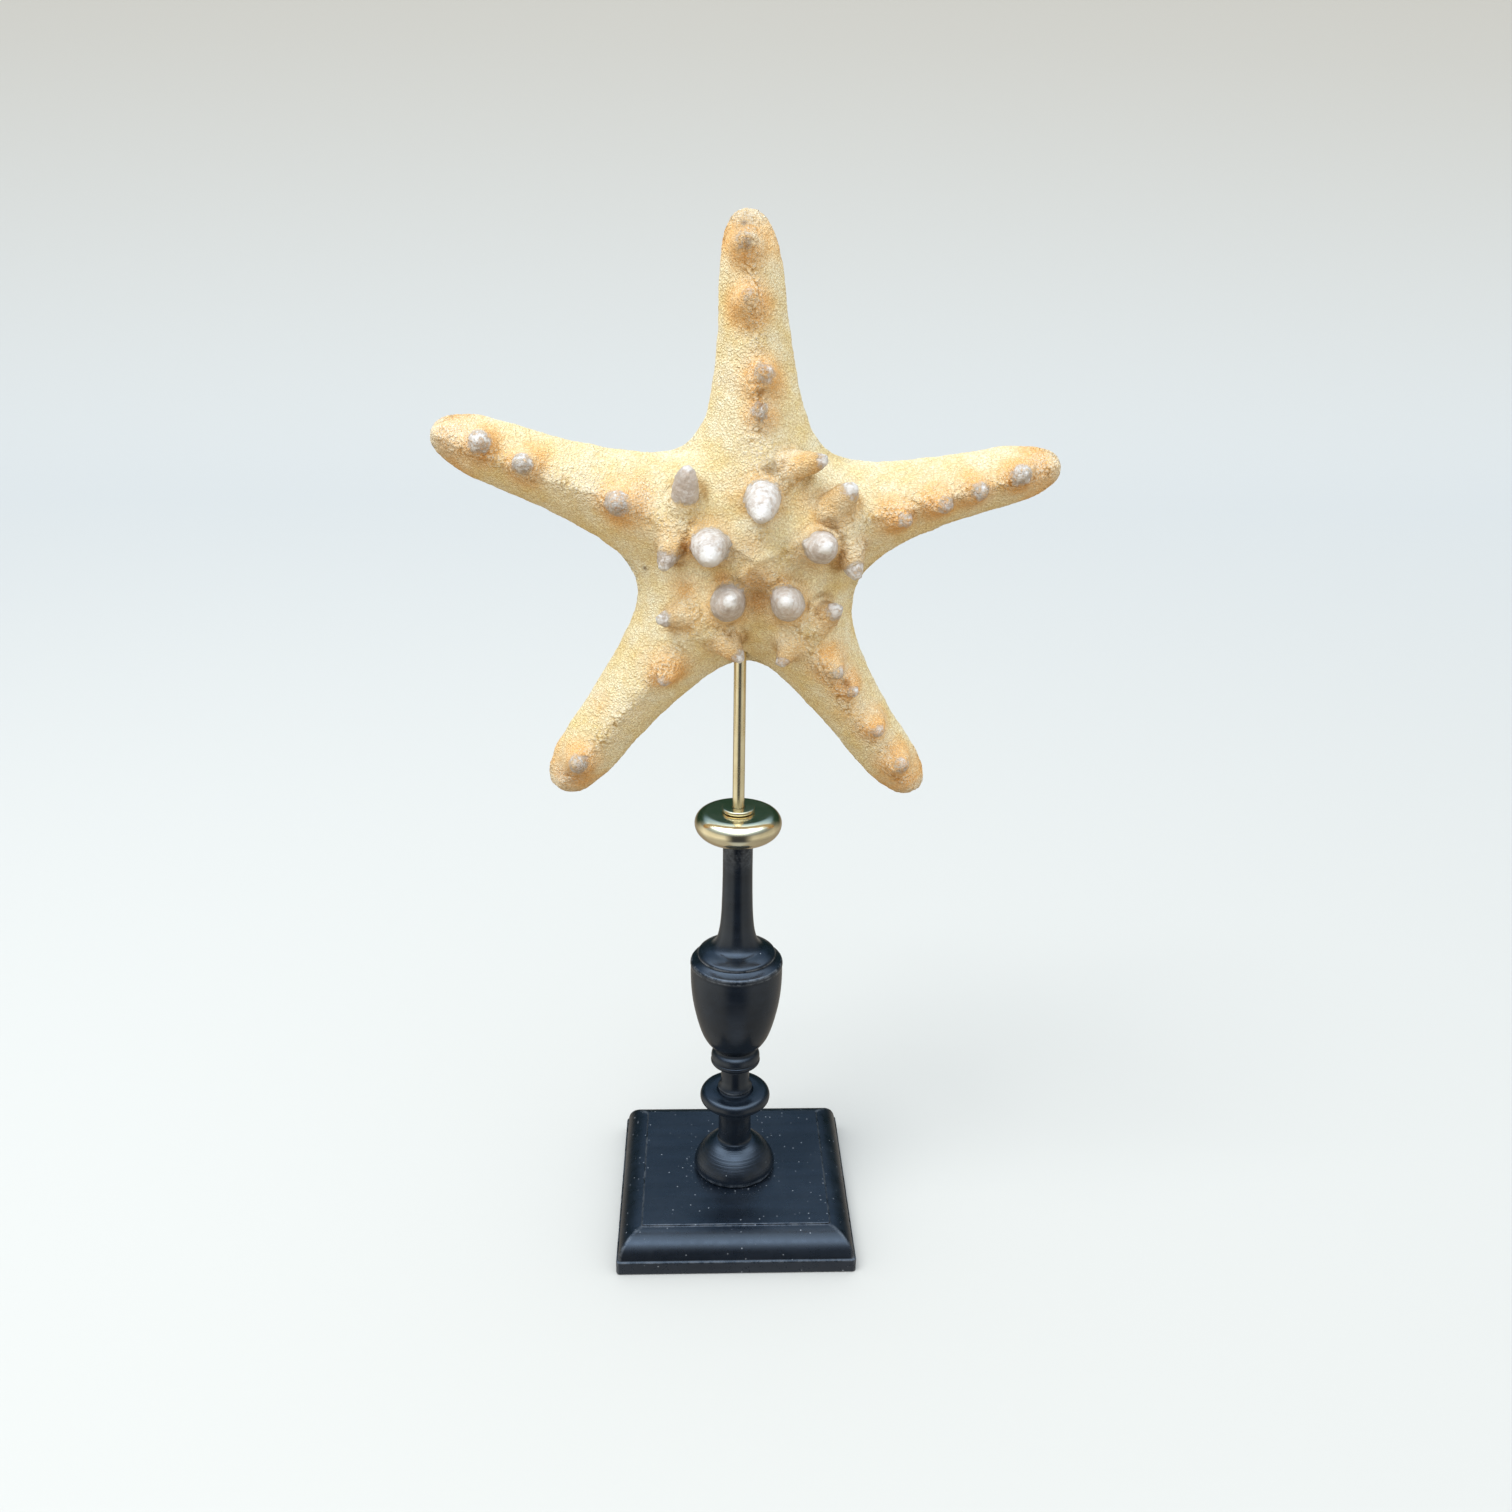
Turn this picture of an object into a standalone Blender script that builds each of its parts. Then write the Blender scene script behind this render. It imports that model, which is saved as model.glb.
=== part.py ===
"""A dried knobbly starfish held upright by a brass rod on a turned black stand.

The origin is the middle of the underside of the square base, +Z is up, and the
starfish shows its knobbly upper side towards -Y. Blender works in metres, and
the sizes below are written in millimetres and multiplied by MM.
"""

import math

import bmesh
import bpy
import numpy as np

MM = 0.001

# A gap that keeps touching pieces from sharing a face
FIT_GAP = 0.3

# Edges sharper than this stay crisp on the turned pieces
CREASE_DEGREES = 35.0

# Square moulded base
BASE_SIDE = 100.0
BASE_HEIGHT = 16.8
BASE_BAND = 5.8
PANEL_INSET = 10.5
PANEL_STEP = 1.5
BAND_LEDGE = 0.8
HOLLOW_LIFT = 0.3
CORNER_ROUND = 1.6
CORNER_STEPS = 3

# Turned column, from the top down: heights above the table, and radii
COLUMN_SIDES = 24
COLUMN_TOP = 176.0
NECK_RADIUS = 6.1
NECK_STRAIGHT_FOOT = 152.0
NECK_FOOT = 127.4
NECK_FOOT_RADIUS = 10.4
NECK_SWEEP_POWER = 3.5
SHOULDER_RADIUS = 16.2
SHOULDER_HEIGHT = 123.6
SHOULDER_STEP = 1.4
URN_RADIUS = 19.2
URN_TOP = 119.7
URN_STRAIGHT = 6.0
URN_POWER = 2.2
WAIST_RADIUS = 8.8
WAIST_HEIGHT = 78.4
SMALL_RING_HEIGHT = 73.4
SMALL_RING_RADIUS = 10.6
SMALL_RING_BULGE = 2.4
SMALL_RING_HALF = 3.6
THIN_NECK_RADIUS = 6.0
THIN_NECK_TOP = 68.6
THIN_NECK_FOOT = 61.4
BIG_RING_HEIGHT = 53.9
BIG_RING_RADIUS = 15.1
BIG_RING_HALF = 3.2
STEM_RADIUS = 7.1
STEM_TOP = 45.0
STEM_FOOT = 36.0
BELL_RADIUS = 17.7
BELL_TOP = 31.6
BELL_FOOT = 19.6
BELL_POWER = 1.47
BELL_MOUTH_RADIUS = 7.6

# Brass collar with a flat top, washer and rod
COLLAR_SIDES = 24
COLLAR_RADIUS = 17.6
COLLAR_FLAT_RADIUS = 14.2
COLLAR_HEIGHT = 12.0
COLLAR_LOWER = 7.0
COLLAR_BORE = 2.7
COLLAR_FLOOR = 2.0
UPPER_CURVE_RADIUS = 5.0
LOWER_CURVE_RADIUS = 9.1
WASHER_RADIUS = 6.6
WASHER_HEIGHT = 1.6
WASHER_BEVEL = 0.5
ROD_SIDES = 20
ROD_RADIUS = 2.4
ROD_TOP = 262.0

# Starfish: its middle, seen from the front, and the depths of its back and margin behind the rod
STAR_X = 5.0
STAR_HEIGHT = 295.5
BACK_DEPTH = 8.5
BACK_BLEND = 3.0
MARGIN_DEPTH = 2.5
DISC_RADIUS = 33.0
DISC_RISE = 17.5
ROD_HOLE_RADIUS = ROD_RADIUS + FIT_GAP
ROD_HOLE_LENGTH = 36.0

# Grid that the starfish's skin is drawn from, and how many triangles are kept
GRID_LOW = (-124.0, -108.0, -14.0)
GRID_HIGH = (120.0, 126.0, 42.0)
GRID_CELL = 1.7
GRID_BATCH = 200000
STAR_TRIANGLES = 5600

# Arms: angle in degrees, length, sideways bow, width near the tip, extra width towards the disc
ARMS = [
    (92.4, 118.0, -1.4, 10.0, 10.6),
    (160.1, 124.5, -0.4, 10.3, 11.2),
    (231.6, 124.2, -1.0, 11.0, 10.8),
    (303.6, 118.5, -2.6, 9.8, 9.0),
    (15.8, 117.2, 2.4, 9.4, 9.6),
]
ARM_BLEND = 4.0
ARM_CAP = 20.0
ARM_CAP_POWER = 2.4
ARM_HEEL = 12.0
FLARE_START = 40.0
FLARE_FADE = 27.0
WIDEST_ARM = 34.0
CREST_AT_TIP = 6.0
CREST_RISE = 17.0
CREST_FADE = 80.0
CREST_DIP = 0.16
CREST_DIP_REACH = 15.0
UPPER_POWER = 1.45
LOWER_POWER = 2.2

# Spines: foot, tip and foot radius. Places on the starfish count from its middle: right, up, out
PRIMARY_SPINES = [
    ((1.9, 20.5, 16.0), (0.2, 18.2, 34.0), 6.7),
    ((-16.9, 3.4, 16.0), (-16.5, 2.6, 34.5), 7.0),
    ((-10.6, -18.0, 15.0), (-9.6, -12.0, 33.5), 7.0),
    ((12.1, -17.8, 15.0), (10.0, -12.2, 33.5), 6.8),
    ((22.7, 4.4, 16.0), (24.2, 7.0, 33.5), 6.6),
]
FLANK_SPINES = [
    ((12.6, 32.3, 12.0), (25.0, 35.8, 17.5), 4.8),
    ((3.6, 31.0, 13.0), (4.1, 35.0, 19.0), 3.0),
    ((-26.3, 17.8, 12.0), (-24.4, 33.2, 20.5), 5.4),
    ((-29.2, 6.3, 12.0), (-34.2, -4.2, 20.0), 5.0),
    ((-24.2, -22.7, 11.0), (-36.6, -23.2, 18.5), 4.7),
    ((-11.5, -32.6, 10.0), (-4.8, -39.0, 17.5), 4.8),
    ((15.5, -32.5, 10.0), (8.8, -41.0, 17.5), 4.6),
    ((25.0, -23.9, 10.0), (31.0, -18.2, 18.5), 4.7),
    ((34.0, 2.1, 11.0), (37.0, -7.6, 17.5), 5.0),
    ((27.8, 17.7, 12.0), (34.0, 27.4, 20.5), 5.3),
    ((12.2, 14.2, 15.0), (11.9, 15.0, 20.5), 2.2),
]
ARM_KNOBS = [
    ((0.9, 49.5, 9.0), (0.4, 52.9, 16.5), 3.6),
    ((1.2, 60.7, 8.0), (2.5, 66.4, 17.5), 5.0),
    ((-4.0, 86.6, 6.0), (-4.6, 90.8, 14.5), 4.8),
    ((-4.9, 105.7, 4.0), (-6.1, 108.4, 12.5), 4.9),
    ((-46.7, 18.0, 9.0), (-52.0, 20.2, 19.5), 5.2),
    ((-82.2, 31.4, 6.0), (-84.2, 33.2, 15.5), 4.7),
    ((-98.6, 38.5, 5.0), (-98.3, 40.6, 14.5), 5.0),
    ((-32.1, -43.4, 9.0), (-34.4, -48.0, 17.5), 4.7),
    ((-67.2, -83.4, 5.0), (-67.5, -82.0, 14.5), 5.1),
    ((28.1, -40.8, 9.0), (32.0, -44.6, 17.5), 4.8),
    ((35.4, -50.2, 8.0), (38.0, -52.0, 16.5), 4.2),
    ((46.2, -66.3, 7.0), (48.4, -68.2, 15.5), 4.5),
    ((56.1, -82.9, 5.0), (58.5, -82.3, 14.5), 5.1),
    ((50.2, 14.8, 9.0), (54.8, 13.8, 18.5), 4.8),
    ((65.4, 19.8, 8.0), (69.0, 19.2, 17.5), 4.8),
    ((78.5, 23.7, 7.0), (81.6, 24.3, 15.5), 4.6),
    ((96.0, 29.3, 5.0), (95.3, 30.6, 14.5), 4.9),
]
SPINE_FULLNESS = 2.2
SPINE_POINT = 0.62
SPINE_BLEND = 2.2

# Raised ridges of the disc: the hub's arms to the primary spines, then the mounts between flank spines
HUB = (0.2, -1.4, 13.2)
HUB_RIDGE_END = 13.0
HUB_RIDGE_RADII = (3.6, 4.6)
DISC_MOUNTS = [
    ((1.9, 22.0, 9.0), (12.0, 32.0, 8.5), 7.0, 6.0),
    ((1.9, 22.0, 9.0), (2.5, 36.0, 7.0), 7.0, 6.0),
    ((-26.5, 17.0, 8.5), (-29.0, 5.0, 8.5), 6.2, 6.0),
    ((-17.0, 4.0, 9.0), (-28.0, 11.0, 8.0), 6.5, 6.0),
    ((-24.0, -22.0, 8.0), (-12.0, -32.0, 7.5), 6.2, 6.2),
    ((-11.0, -18.0, 9.0), (-18.5, -27.5, 7.5), 6.5, 6.0),
    ((15.0, -31.5, 7.5), (25.0, -24.0, 7.5), 6.2, 6.2),
    ((12.0, -18.0, 9.0), (20.5, -28.0, 7.5), 6.5, 6.0),
    ((34.0, 3.0, 8.0), (28.5, 17.0, 8.5), 6.2, 6.4),
    ((22.7, 4.4, 9.0), (31.5, 10.0, 8.0), 6.5, 6.0),
]
RIDGE_BLEND = 4.5

# Grooves along the flat back of the arms, meeting at the mouth
GROOVE_DEPTH = 2.4
GROOVE_HALF_WIDTH = 2.6
GROOVE_END = 0.93
GROOVE_FADE = 12.0
MOUTH_DEPTH = 3.5
MOUTH_RADIUS = 6.0

BLACK_WOOD = (0.012, 0.014, 0.018)
POLISHED_BRASS = (0.78, 0.58, 0.26)
DRIED_SKIN = (0.80, 0.66, 0.42)


def clear_scene():
    for old in list(bpy.data.objects):
        bpy.data.objects.remove(old)


def material(name, colour, roughness, metallic=0.0):
    made = bpy.data.materials.new(name)
    made.use_nodes = True
    shader = made.node_tree.nodes["Principled BSDF"]
    shader.inputs["Base Color"].default_value = (*colour, 1.0)
    shader.inputs["Roughness"].default_value = roughness
    shader.inputs["Metallic"].default_value = metallic
    return made


def add_object(name, mesh, surface):
    made = bpy.data.objects.new(name, mesh)
    mesh.materials.append(surface)
    bpy.context.scene.collection.objects.link(made)
    return made


def arc(centre, radii, start, end, steps, power=2.0):
    """Points (radius, height) along an ellipse in degrees. A power under 2 flattens its shoulders."""
    points = []
    for angle in np.radians(np.linspace(start, end, steps)):
        c, s = math.cos(angle), math.sin(angle)
        across = math.copysign(abs(c) ** (2.0 / power), c)
        rise = math.copysign(abs(s) ** (2.0 / power), s)
        points.append((centre[0] + radii[0] * across, centre[1] + radii[1] * rise))
    return points


def turned(name, profile, sides, surface):
    """A closed outline of (radius, height) points in mm, spun about the Z axis."""
    bm = bmesh.new()
    points = [bm.verts.new((radius * MM, 0.0, height * MM)) for radius, height in profile]
    edges = [bm.edges.new(pair) for pair in zip(points[:-1], points[1:])]
    if profile[0][0] > 0.0:
        edges.append(bm.edges.new((points[-1], points[0])))
    bmesh.ops.spin(
        bm,
        geom=points + edges,
        axis=(0.0, 0.0, 1.0),
        cent=(0.0, 0.0, 0.0),
        angle=math.tau,
        steps=sides,
        use_merge=True,
    )
    bmesh.ops.remove_doubles(bm, verts=bm.verts, dist=1e-6)
    bmesh.ops.recalc_face_normals(bm, faces=bm.faces)
    mesh = bpy.data.meshes.new(name)
    bm.to_mesh(mesh)
    bm.free()
    mesh.shade_smooth()
    mesh.set_sharp_from_angle(angle=math.radians(CREASE_DEGREES))
    return add_object(name, mesh, surface)


def base_outline():
    """Half-side and height up the moulding: band, hollowed quarter round, then the raised panel."""
    half = BASE_SIDE / 2
    panel = half - PANEL_INSET
    step_foot = BASE_HEIGHT - PANEL_STEP
    hollow_foot = BASE_BAND + HOLLOW_LIFT
    hollow = arc((panel, hollow_foot), (half - BAND_LEDGE - panel, step_foot - hollow_foot), 0, 90, 7)
    return [(half, 0.0), (half, BASE_BAND)] + hollow + [(panel, BASE_HEIGHT)]


def square_ring(bm, half, height):
    """Vertices round a square whose corners are slightly rounded."""
    inner = half - CORNER_ROUND
    ring = []
    for turn, (side_x, side_y) in enumerate(((1, 1), (-1, 1), (-1, -1), (1, -1))):
        for angle in np.radians(np.linspace(turn * 90, turn * 90 + 90, CORNER_STEPS)):
            x = side_x * inner + CORNER_ROUND * math.cos(angle)
            y = side_y * inner + CORNER_ROUND * math.sin(angle)
            ring.append(bm.verts.new((x * MM, y * MM, height * MM)))
    return ring


def make_base(surface):
    """Square rings stacked up the moulding."""
    bm = bmesh.new()
    rings = [square_ring(bm, half, height) for half, height in base_outline()]
    for low, high in zip(rings[:-1], rings[1:]):
        for i in range(len(low)):
            j = (i + 1) % len(low)
            bm.faces.new((low[i], low[j], high[j], high[i]))
    bm.faces.new(rings[-1])
    bm.faces.new(rings[0][::-1])
    bmesh.ops.recalc_face_normals(bm, faces=bm.faces)
    mesh = bpy.data.meshes.new("base")
    bm.to_mesh(mesh)
    bm.free()
    return add_object("base", mesh, surface)


def neck_sweep(steps):
    """The straight neck swells ever faster down to the shoulder."""
    points = [(NECK_RADIUS, COLUMN_TOP)]
    drop = NECK_STRAIGHT_FOOT - NECK_FOOT
    for share in np.linspace(0.0, 1.0, steps):
        radius = NECK_RADIUS + (NECK_FOOT_RADIUS - NECK_RADIUS) * share**NECK_SWEEP_POWER
        points.append((radius, NECK_STRAIGHT_FOOT - drop * share))
    return points


def shoulder():
    """A sloping shoulder that steps down to the urn's rim."""
    middle = (NECK_FOOT_RADIUS + SHOULDER_RADIUS) / 2
    swell = (NECK_FOOT + SHOULDER_HEIGHT) / 2 + 0.4
    ledge = SHOULDER_HEIGHT - SHOULDER_STEP
    points = [(middle, swell), (SHOULDER_RADIUS, SHOULDER_HEIGHT), (SHOULDER_RADIUS + 0.3, ledge)]
    return points + [(URN_RADIUS - 0.5, URN_TOP + 1.0), (URN_RADIUS + 0.1, URN_TOP)]


def urn_wall(steps):
    """The urn narrows ever faster from its straight rim down to the waist."""
    full = URN_TOP - URN_STRAIGHT
    drop = full - WAIST_HEIGHT
    shrink = URN_RADIUS - WAIST_RADIUS - 0.3
    points = []
    for share in np.linspace(0.0, 1.0, steps):
        points.append((URN_RADIUS - shrink * share**URN_POWER, full - drop * share))
    return points


def small_ring():
    inner = SMALL_RING_RADIUS - SMALL_RING_BULGE
    return arc((inner, SMALL_RING_HEIGHT), (SMALL_RING_BULGE, SMALL_RING_HALF), 70, -75, 6)


def thin_neck():
    """A short waist between the rings, flared at its foot above a fine step."""
    points = [(THIN_NECK_RADIUS + 0.9, THIN_NECK_TOP + 0.8), (THIN_NECK_RADIUS, THIN_NECK_TOP)]
    points += [(THIN_NECK_RADIUS, THIN_NECK_FOOT), (THIN_NECK_RADIUS + 0.4, THIN_NECK_FOOT - 1.5)]
    step_foot = BIG_RING_HEIGHT + BIG_RING_HALF + 0.1
    return points + [(THIN_NECK_RADIUS + 1.3, THIN_NECK_FOOT - 2.9), (THIN_NECK_RADIUS + 1.4, step_foot)]


def big_ring():
    inner = BIG_RING_RADIUS - BIG_RING_HALF
    return arc((inner, BIG_RING_HEIGHT), (BIG_RING_HALF, BIG_RING_HALF), 86, -80, 8)


def bell_foot():
    """The stem under the big ring and the bell that stands on the base."""
    foot = BASE_HEIGHT + FIT_GAP
    points = [(STEM_RADIUS + 2.3, STEM_TOP + 4.4), (STEM_RADIUS + 0.7, STEM_TOP + 2.8)]
    points += [(STEM_RADIUS, STEM_TOP), (STEM_RADIUS, STEM_FOOT)]
    reach = BELL_RADIUS - BELL_MOUTH_RADIUS
    rise = BELL_TOP - BELL_FOOT
    points += arc((BELL_MOUTH_RADIUS, BELL_FOOT), (reach, rise), 90, 0, 8, BELL_POWER)
    return points + [(BELL_RADIUS - 0.3, foot + 0.7), (BELL_RADIUS - 1.3, foot), (0.0, foot)]


def column_profile():
    """The turned outline from the top down."""
    profile = [(0.0, COLUMN_TOP)] + neck_sweep(8) + shoulder() + urn_wall(9)
    return profile + small_ring() + thin_neck() + big_ring() + bell_foot()


def make_collar(surface):
    """A cushion with a flat top, bored for the rod."""
    low = COLUMN_TOP + FIT_GAP
    high = low + COLLAR_HEIGHT
    middle = low + COLLAR_LOWER
    profile = [(COLLAR_BORE, low + COLLAR_FLOOR), (COLLAR_BORE, high), (COLLAR_FLAT_RADIUS, high)]
    inner = COLLAR_RADIUS - UPPER_CURVE_RADIUS
    upper = arc((inner, middle), (UPPER_CURVE_RADIUS, high - middle - 0.1), 66, 0, 5)
    inner = COLLAR_RADIUS - LOWER_CURVE_RADIUS
    lower = arc((inner, middle), (LOWER_CURVE_RADIUS, COLLAR_LOWER), -18, -90, 6)
    floor = [(0.0, low), (0.0, low + COLLAR_FLOOR)]
    turned("collar", profile + upper + lower + floor, COLLAR_SIDES, surface)


def make_rod(surface):
    """The rod stands on the floor of the collar's bore and ends inside the starfish."""
    foot = COLUMN_TOP + FIT_GAP + COLLAR_FLOOR + FIT_GAP
    tip = [(0.0, ROD_TOP), (ROD_RADIUS - 0.3, ROD_TOP), (ROD_RADIUS, ROD_TOP - 0.3)]
    turned("rod", tip + [(ROD_RADIUS, foot), (0.0, foot)], ROD_SIDES, surface)


def make_washer(surface):
    """A thin ring round the rod, on the collar's flat top."""
    low = COLUMN_TOP + FIT_GAP + COLLAR_HEIGHT + FIT_GAP
    high = low + WASHER_HEIGHT
    inner_rim = WASHER_RADIUS - WASHER_BEVEL
    ring = [(COLLAR_BORE, low), (COLLAR_BORE, high), (inner_rim, high)]
    ring += [(WASHER_RADIUS, high - WASHER_BEVEL), (WASHER_RADIUS, low + WASHER_BEVEL), (inner_rim, low)]
    turned("washer", ring, COLLAR_SIDES, surface)


def blended(first, second, blend):
    """Smooth union of two distance fields."""
    share = np.clip(0.5 + 0.5 * (second - first) / blend, 0.0, 1.0)
    return second + (first - second) * share - blend * share * (1.0 - share)


def along_line(points, start, end):
    """For each point, its share of the way along a line and its distance from it."""
    start = np.array(start)
    line = np.array(end) - start
    offset = points - start
    share = np.clip(offset @ line / (line @ line), 0.0, 1.0)
    return share, np.linalg.norm(offset - share[:, None] * line, axis=1)


def ridge_field(points, start, end, start_radius, end_radius):
    """Distance to a rounded bar whose radius changes evenly along it."""
    share, gap = along_line(points, start, end)
    return gap - (start_radius + (end_radius - start_radius) * share)


def spine_field(points, foot, tip, radius):
    """Distance to a plump cone with a rounded point, standing on its foot."""
    share, gap = along_line(points, foot, tip)
    return gap - radius * (1.0 - share**SPINE_FULLNESS) ** SPINE_POINT


def arm_frame(points, angle, length, bow):
    """Distances along one arm and sideways from its gently bowed middle line."""
    turn = math.radians(angle)
    right, up = points[:, 0], points[:, 1]
    along = right * math.cos(turn) + up * math.sin(turn)
    run = np.clip(along, 0.0, length)
    across = up * math.cos(turn) - right * math.sin(turn) - bow * np.sin(math.pi * run / length)
    return along, run, across


def arm_field(points, arm):
    """One arm: a rounded ridge over a flatter belly, widening towards the disc."""
    angle, length, bow, tip_width, flare = arm
    along, run, across = arm_frame(points, angle, length, bow)
    width = np.minimum(tip_width + flare * np.exp((FLARE_START - run) / FLARE_FADE), WIDEST_ARM)
    dip = 1.0 - CREST_DIP * np.exp(-((run / CREST_DIP_REACH) ** 2))
    crest = (CREST_AT_TIP + CREST_RISE * np.exp(-run / CREST_FADE)) * dip
    belly = BACK_DEPTH - MARGIN_DEPTH + 2.0
    lift = points[:, 2] + MARGIN_DEPTH
    above = lift > 0.0
    height = np.where(above, crest, belly)
    power = np.where(above, UPPER_POWER, LOWER_POWER)
    side = np.sqrt(across**2 + 0.6) / width
    cap = (np.maximum(along - (length - ARM_CAP), 0.0) / ARM_CAP) ** ARM_CAP_POWER
    heel = (np.maximum(-along, 0.0) / ARM_HEEL) ** 2
    level = (side**power + (np.abs(lift) / height) ** power + cap + heel) ** (1.0 / power)
    return (level - 1.0) * np.minimum(width, height) * 0.8


def disc_field(points):
    """The swollen middle of the body."""
    right, up, out = points.T
    lift = out + MARGIN_DEPTH
    level = np.sqrt((right**2 + up**2) / DISC_RADIUS**2 + (lift / DISC_RISE) ** 2)
    return (level - 1.0) * DISC_RISE


def disc_ridges():
    """Ridges from the hub to each primary spine, and the mounts between the flank spines."""
    ridges = []
    for (right, up, _), _, _ in PRIMARY_SPINES:
        ridges.append((HUB, (right, up, HUB_RIDGE_END), *HUB_RIDGE_RADII))
    return ridges + DISC_MOUNTS


def starfish_field(points):
    """Signed distance in mm, negative inside, from the starfish's middle."""
    body = disc_field(points)
    for arm in ARMS:
        body = blended(body, arm_field(points, arm), ARM_BLEND)
    for ridge in disc_ridges():
        body = blended(body, ridge_field(points, *ridge), RIDGE_BLEND)
    for spine in PRIMARY_SPINES + FLANK_SPINES + ARM_KNOBS:
        body = blended(body, spine_field(points, *spine), SPINE_BLEND)
    return -blended(-body, BACK_DEPTH + points[:, 2], BACK_BLEND)


def back_hollow(points):
    """How deep the arm grooves and the mouth are pressed into the flat back, in mm."""
    right, up, out = points.T
    groove = np.zeros(len(points))
    for angle, length, bow, *_ in ARMS:
        along, _, across = arm_frame(points, angle, length, bow)
        fade = np.clip((length * GROOVE_END - along) / GROOVE_FADE, 0.0, 1.0) * (along > 0.0)
        groove = np.maximum(groove, fade * np.exp(-((across / GROOVE_HALF_WIDTH) ** 2)))
    mouth = np.exp(-(right**2 + up**2) / MOUTH_RADIUS**2)
    on_back = np.clip((BACK_BLEND - BACK_DEPTH - out) / BACK_BLEND, 0.0, 1.0)
    return on_back * np.maximum(GROOVE_DEPTH * groove, MOUTH_DEPTH * mouth)


def without_bridges(values):
    """Fills the grid squares whose corners alternate, where two walls would share an edge."""
    just_inside = -0.05
    filled = values.copy()
    for first, second in ((1, 2), (0, 2), (0, 1)) * 4:
        right = np.roll(filled, -1, first)
        up = np.roll(filled, -1, second)
        both = np.roll(right, -1, second)
        rising = (filled < 0.0) & (both < 0.0) & (right >= 0.0) & (up >= 0.0)
        falling = (filled >= 0.0) & (both >= 0.0) & (right < 0.0) & (up < 0.0)
        filled[np.roll(rising, 1, first)] = just_inside
        filled[falling] = just_inside
    return filled


def cells_round(edges, others):
    """The four grid cells that share each grid edge, in order round it."""
    for first, second in ((0, 0), (1, 0), (1, 1), (0, 1)):
        cell = edges.copy()
        cell[:, others[0]] -= first
        cell[:, others[1]] -= second
        yield tuple(cell.T)


def surface_net(values, low, cell):
    """One corner in each grid cell that the surface crosses, and a quad across each crossed grid edge."""
    inside = values < 0.0
    cells = tuple(n - 1 for n in values.shape)
    total = np.zeros(cells + (3,))
    count = np.zeros(cells)
    crossings = []
    for axis in range(3):
        ahead = np.roll(values, -1, axis)
        crossed = inside != np.roll(inside, -1, axis)
        crossed[(slice(None),) * axis + (-1,)] = False
        edges = np.argwhere(crossed)
        place = edges.astype(float)
        place[:, axis] += values[crossed] / (values[crossed] - ahead[crossed])
        others = [other for other in range(3) if other != axis]
        for index in cells_round(edges, others):
            np.add.at(total, index, place)
            np.add.at(count, index, 1)
        crossings.append((axis, others, edges, inside[crossed]))
    used = count > 0
    number = np.full(cells, -1)
    number[used] = np.arange(used.sum())
    corners = total[used] / count[used][:, None] * cell + low
    quads = []
    for axis, others, edges, starts_inside in crossings:
        ring = np.stack([number[index] for index in cells_round(edges, others)], axis=1)
        forward = starts_inside if axis != 1 else ~starts_inside
        quads.append(np.where(forward[:, None], ring, ring[:, ::-1]))
    return corners, np.concatenate(quads)


def sampled_field():
    """The starfish's distance field on a regular grid."""
    low = np.array(GRID_LOW)
    counts = np.ceil((np.array(GRID_HIGH) - low) / GRID_CELL).astype(int) + 1
    axes = [low[i] + GRID_CELL * np.arange(counts[i]) for i in range(3)]
    grid = np.stack(np.meshgrid(*axes, indexing="ij"), axis=-1).reshape(-1, 3)
    batches = np.array_split(grid, len(grid) // GRID_BATCH + 1)
    values = np.concatenate([starfish_field(batch) for batch in batches])
    return values.reshape(counts)


def make_starfish(surface):
    """The whole animal as one skin, drilled from below for the rod."""
    corners, quads = surface_net(without_bridges(sampled_field()), np.array(GRID_LOW), GRID_CELL)
    corners[:, 2] += back_hollow(corners)
    right, up, out = corners.T
    placed = np.stack([STAR_X + right, -out, STAR_HEIGHT + up], axis=1) * MM
    mesh = bpy.data.meshes.new("starfish")
    mesh.from_pydata(placed.tolist(), [], quads.tolist())
    mesh.shade_smooth()
    starfish = add_object("starfish", mesh, surface)
    thin = starfish.modifiers.new("thin_out", "DECIMATE")
    thin.ratio = STAR_TRIANGLES / (2 * len(quads))
    top = ROD_TOP + FIT_GAP
    bottom = top - ROD_HOLE_LENGTH
    profile = [(0.0, top), (ROD_HOLE_RADIUS, top), (ROD_HOLE_RADIUS, bottom), (0.0, bottom)]
    drill = turned("rod_hole", profile, ROD_SIDES, surface)
    drill.hide_render = True
    drill.display_type = "WIRE"
    cut = starfish.modifiers.new("rod_hole", "BOOLEAN")
    cut.operation = "DIFFERENCE"
    cut.object = drill


def main():
    clear_scene()
    black_wood = material("black_wood", BLACK_WOOD, 0.38)
    brass = material("polished_brass", POLISHED_BRASS, 0.12, 1.0)
    dried_skin = material("dried_skin", DRIED_SKIN, 0.85)
    make_base(black_wood)
    turned("column", column_profile(), COLUMN_SIDES, black_wood)
    make_collar(brass)
    make_rod(brass)
    make_washer(brass)
    make_starfish(dried_skin)


main()
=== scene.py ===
"""Looks for a dried knobbly starfish on a turned black stand: fine surfaces, finishes, studio and camera."""

import math

import bmesh
import bpy
import numpy as np
from mathutils import Matrix, Vector, noise


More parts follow.
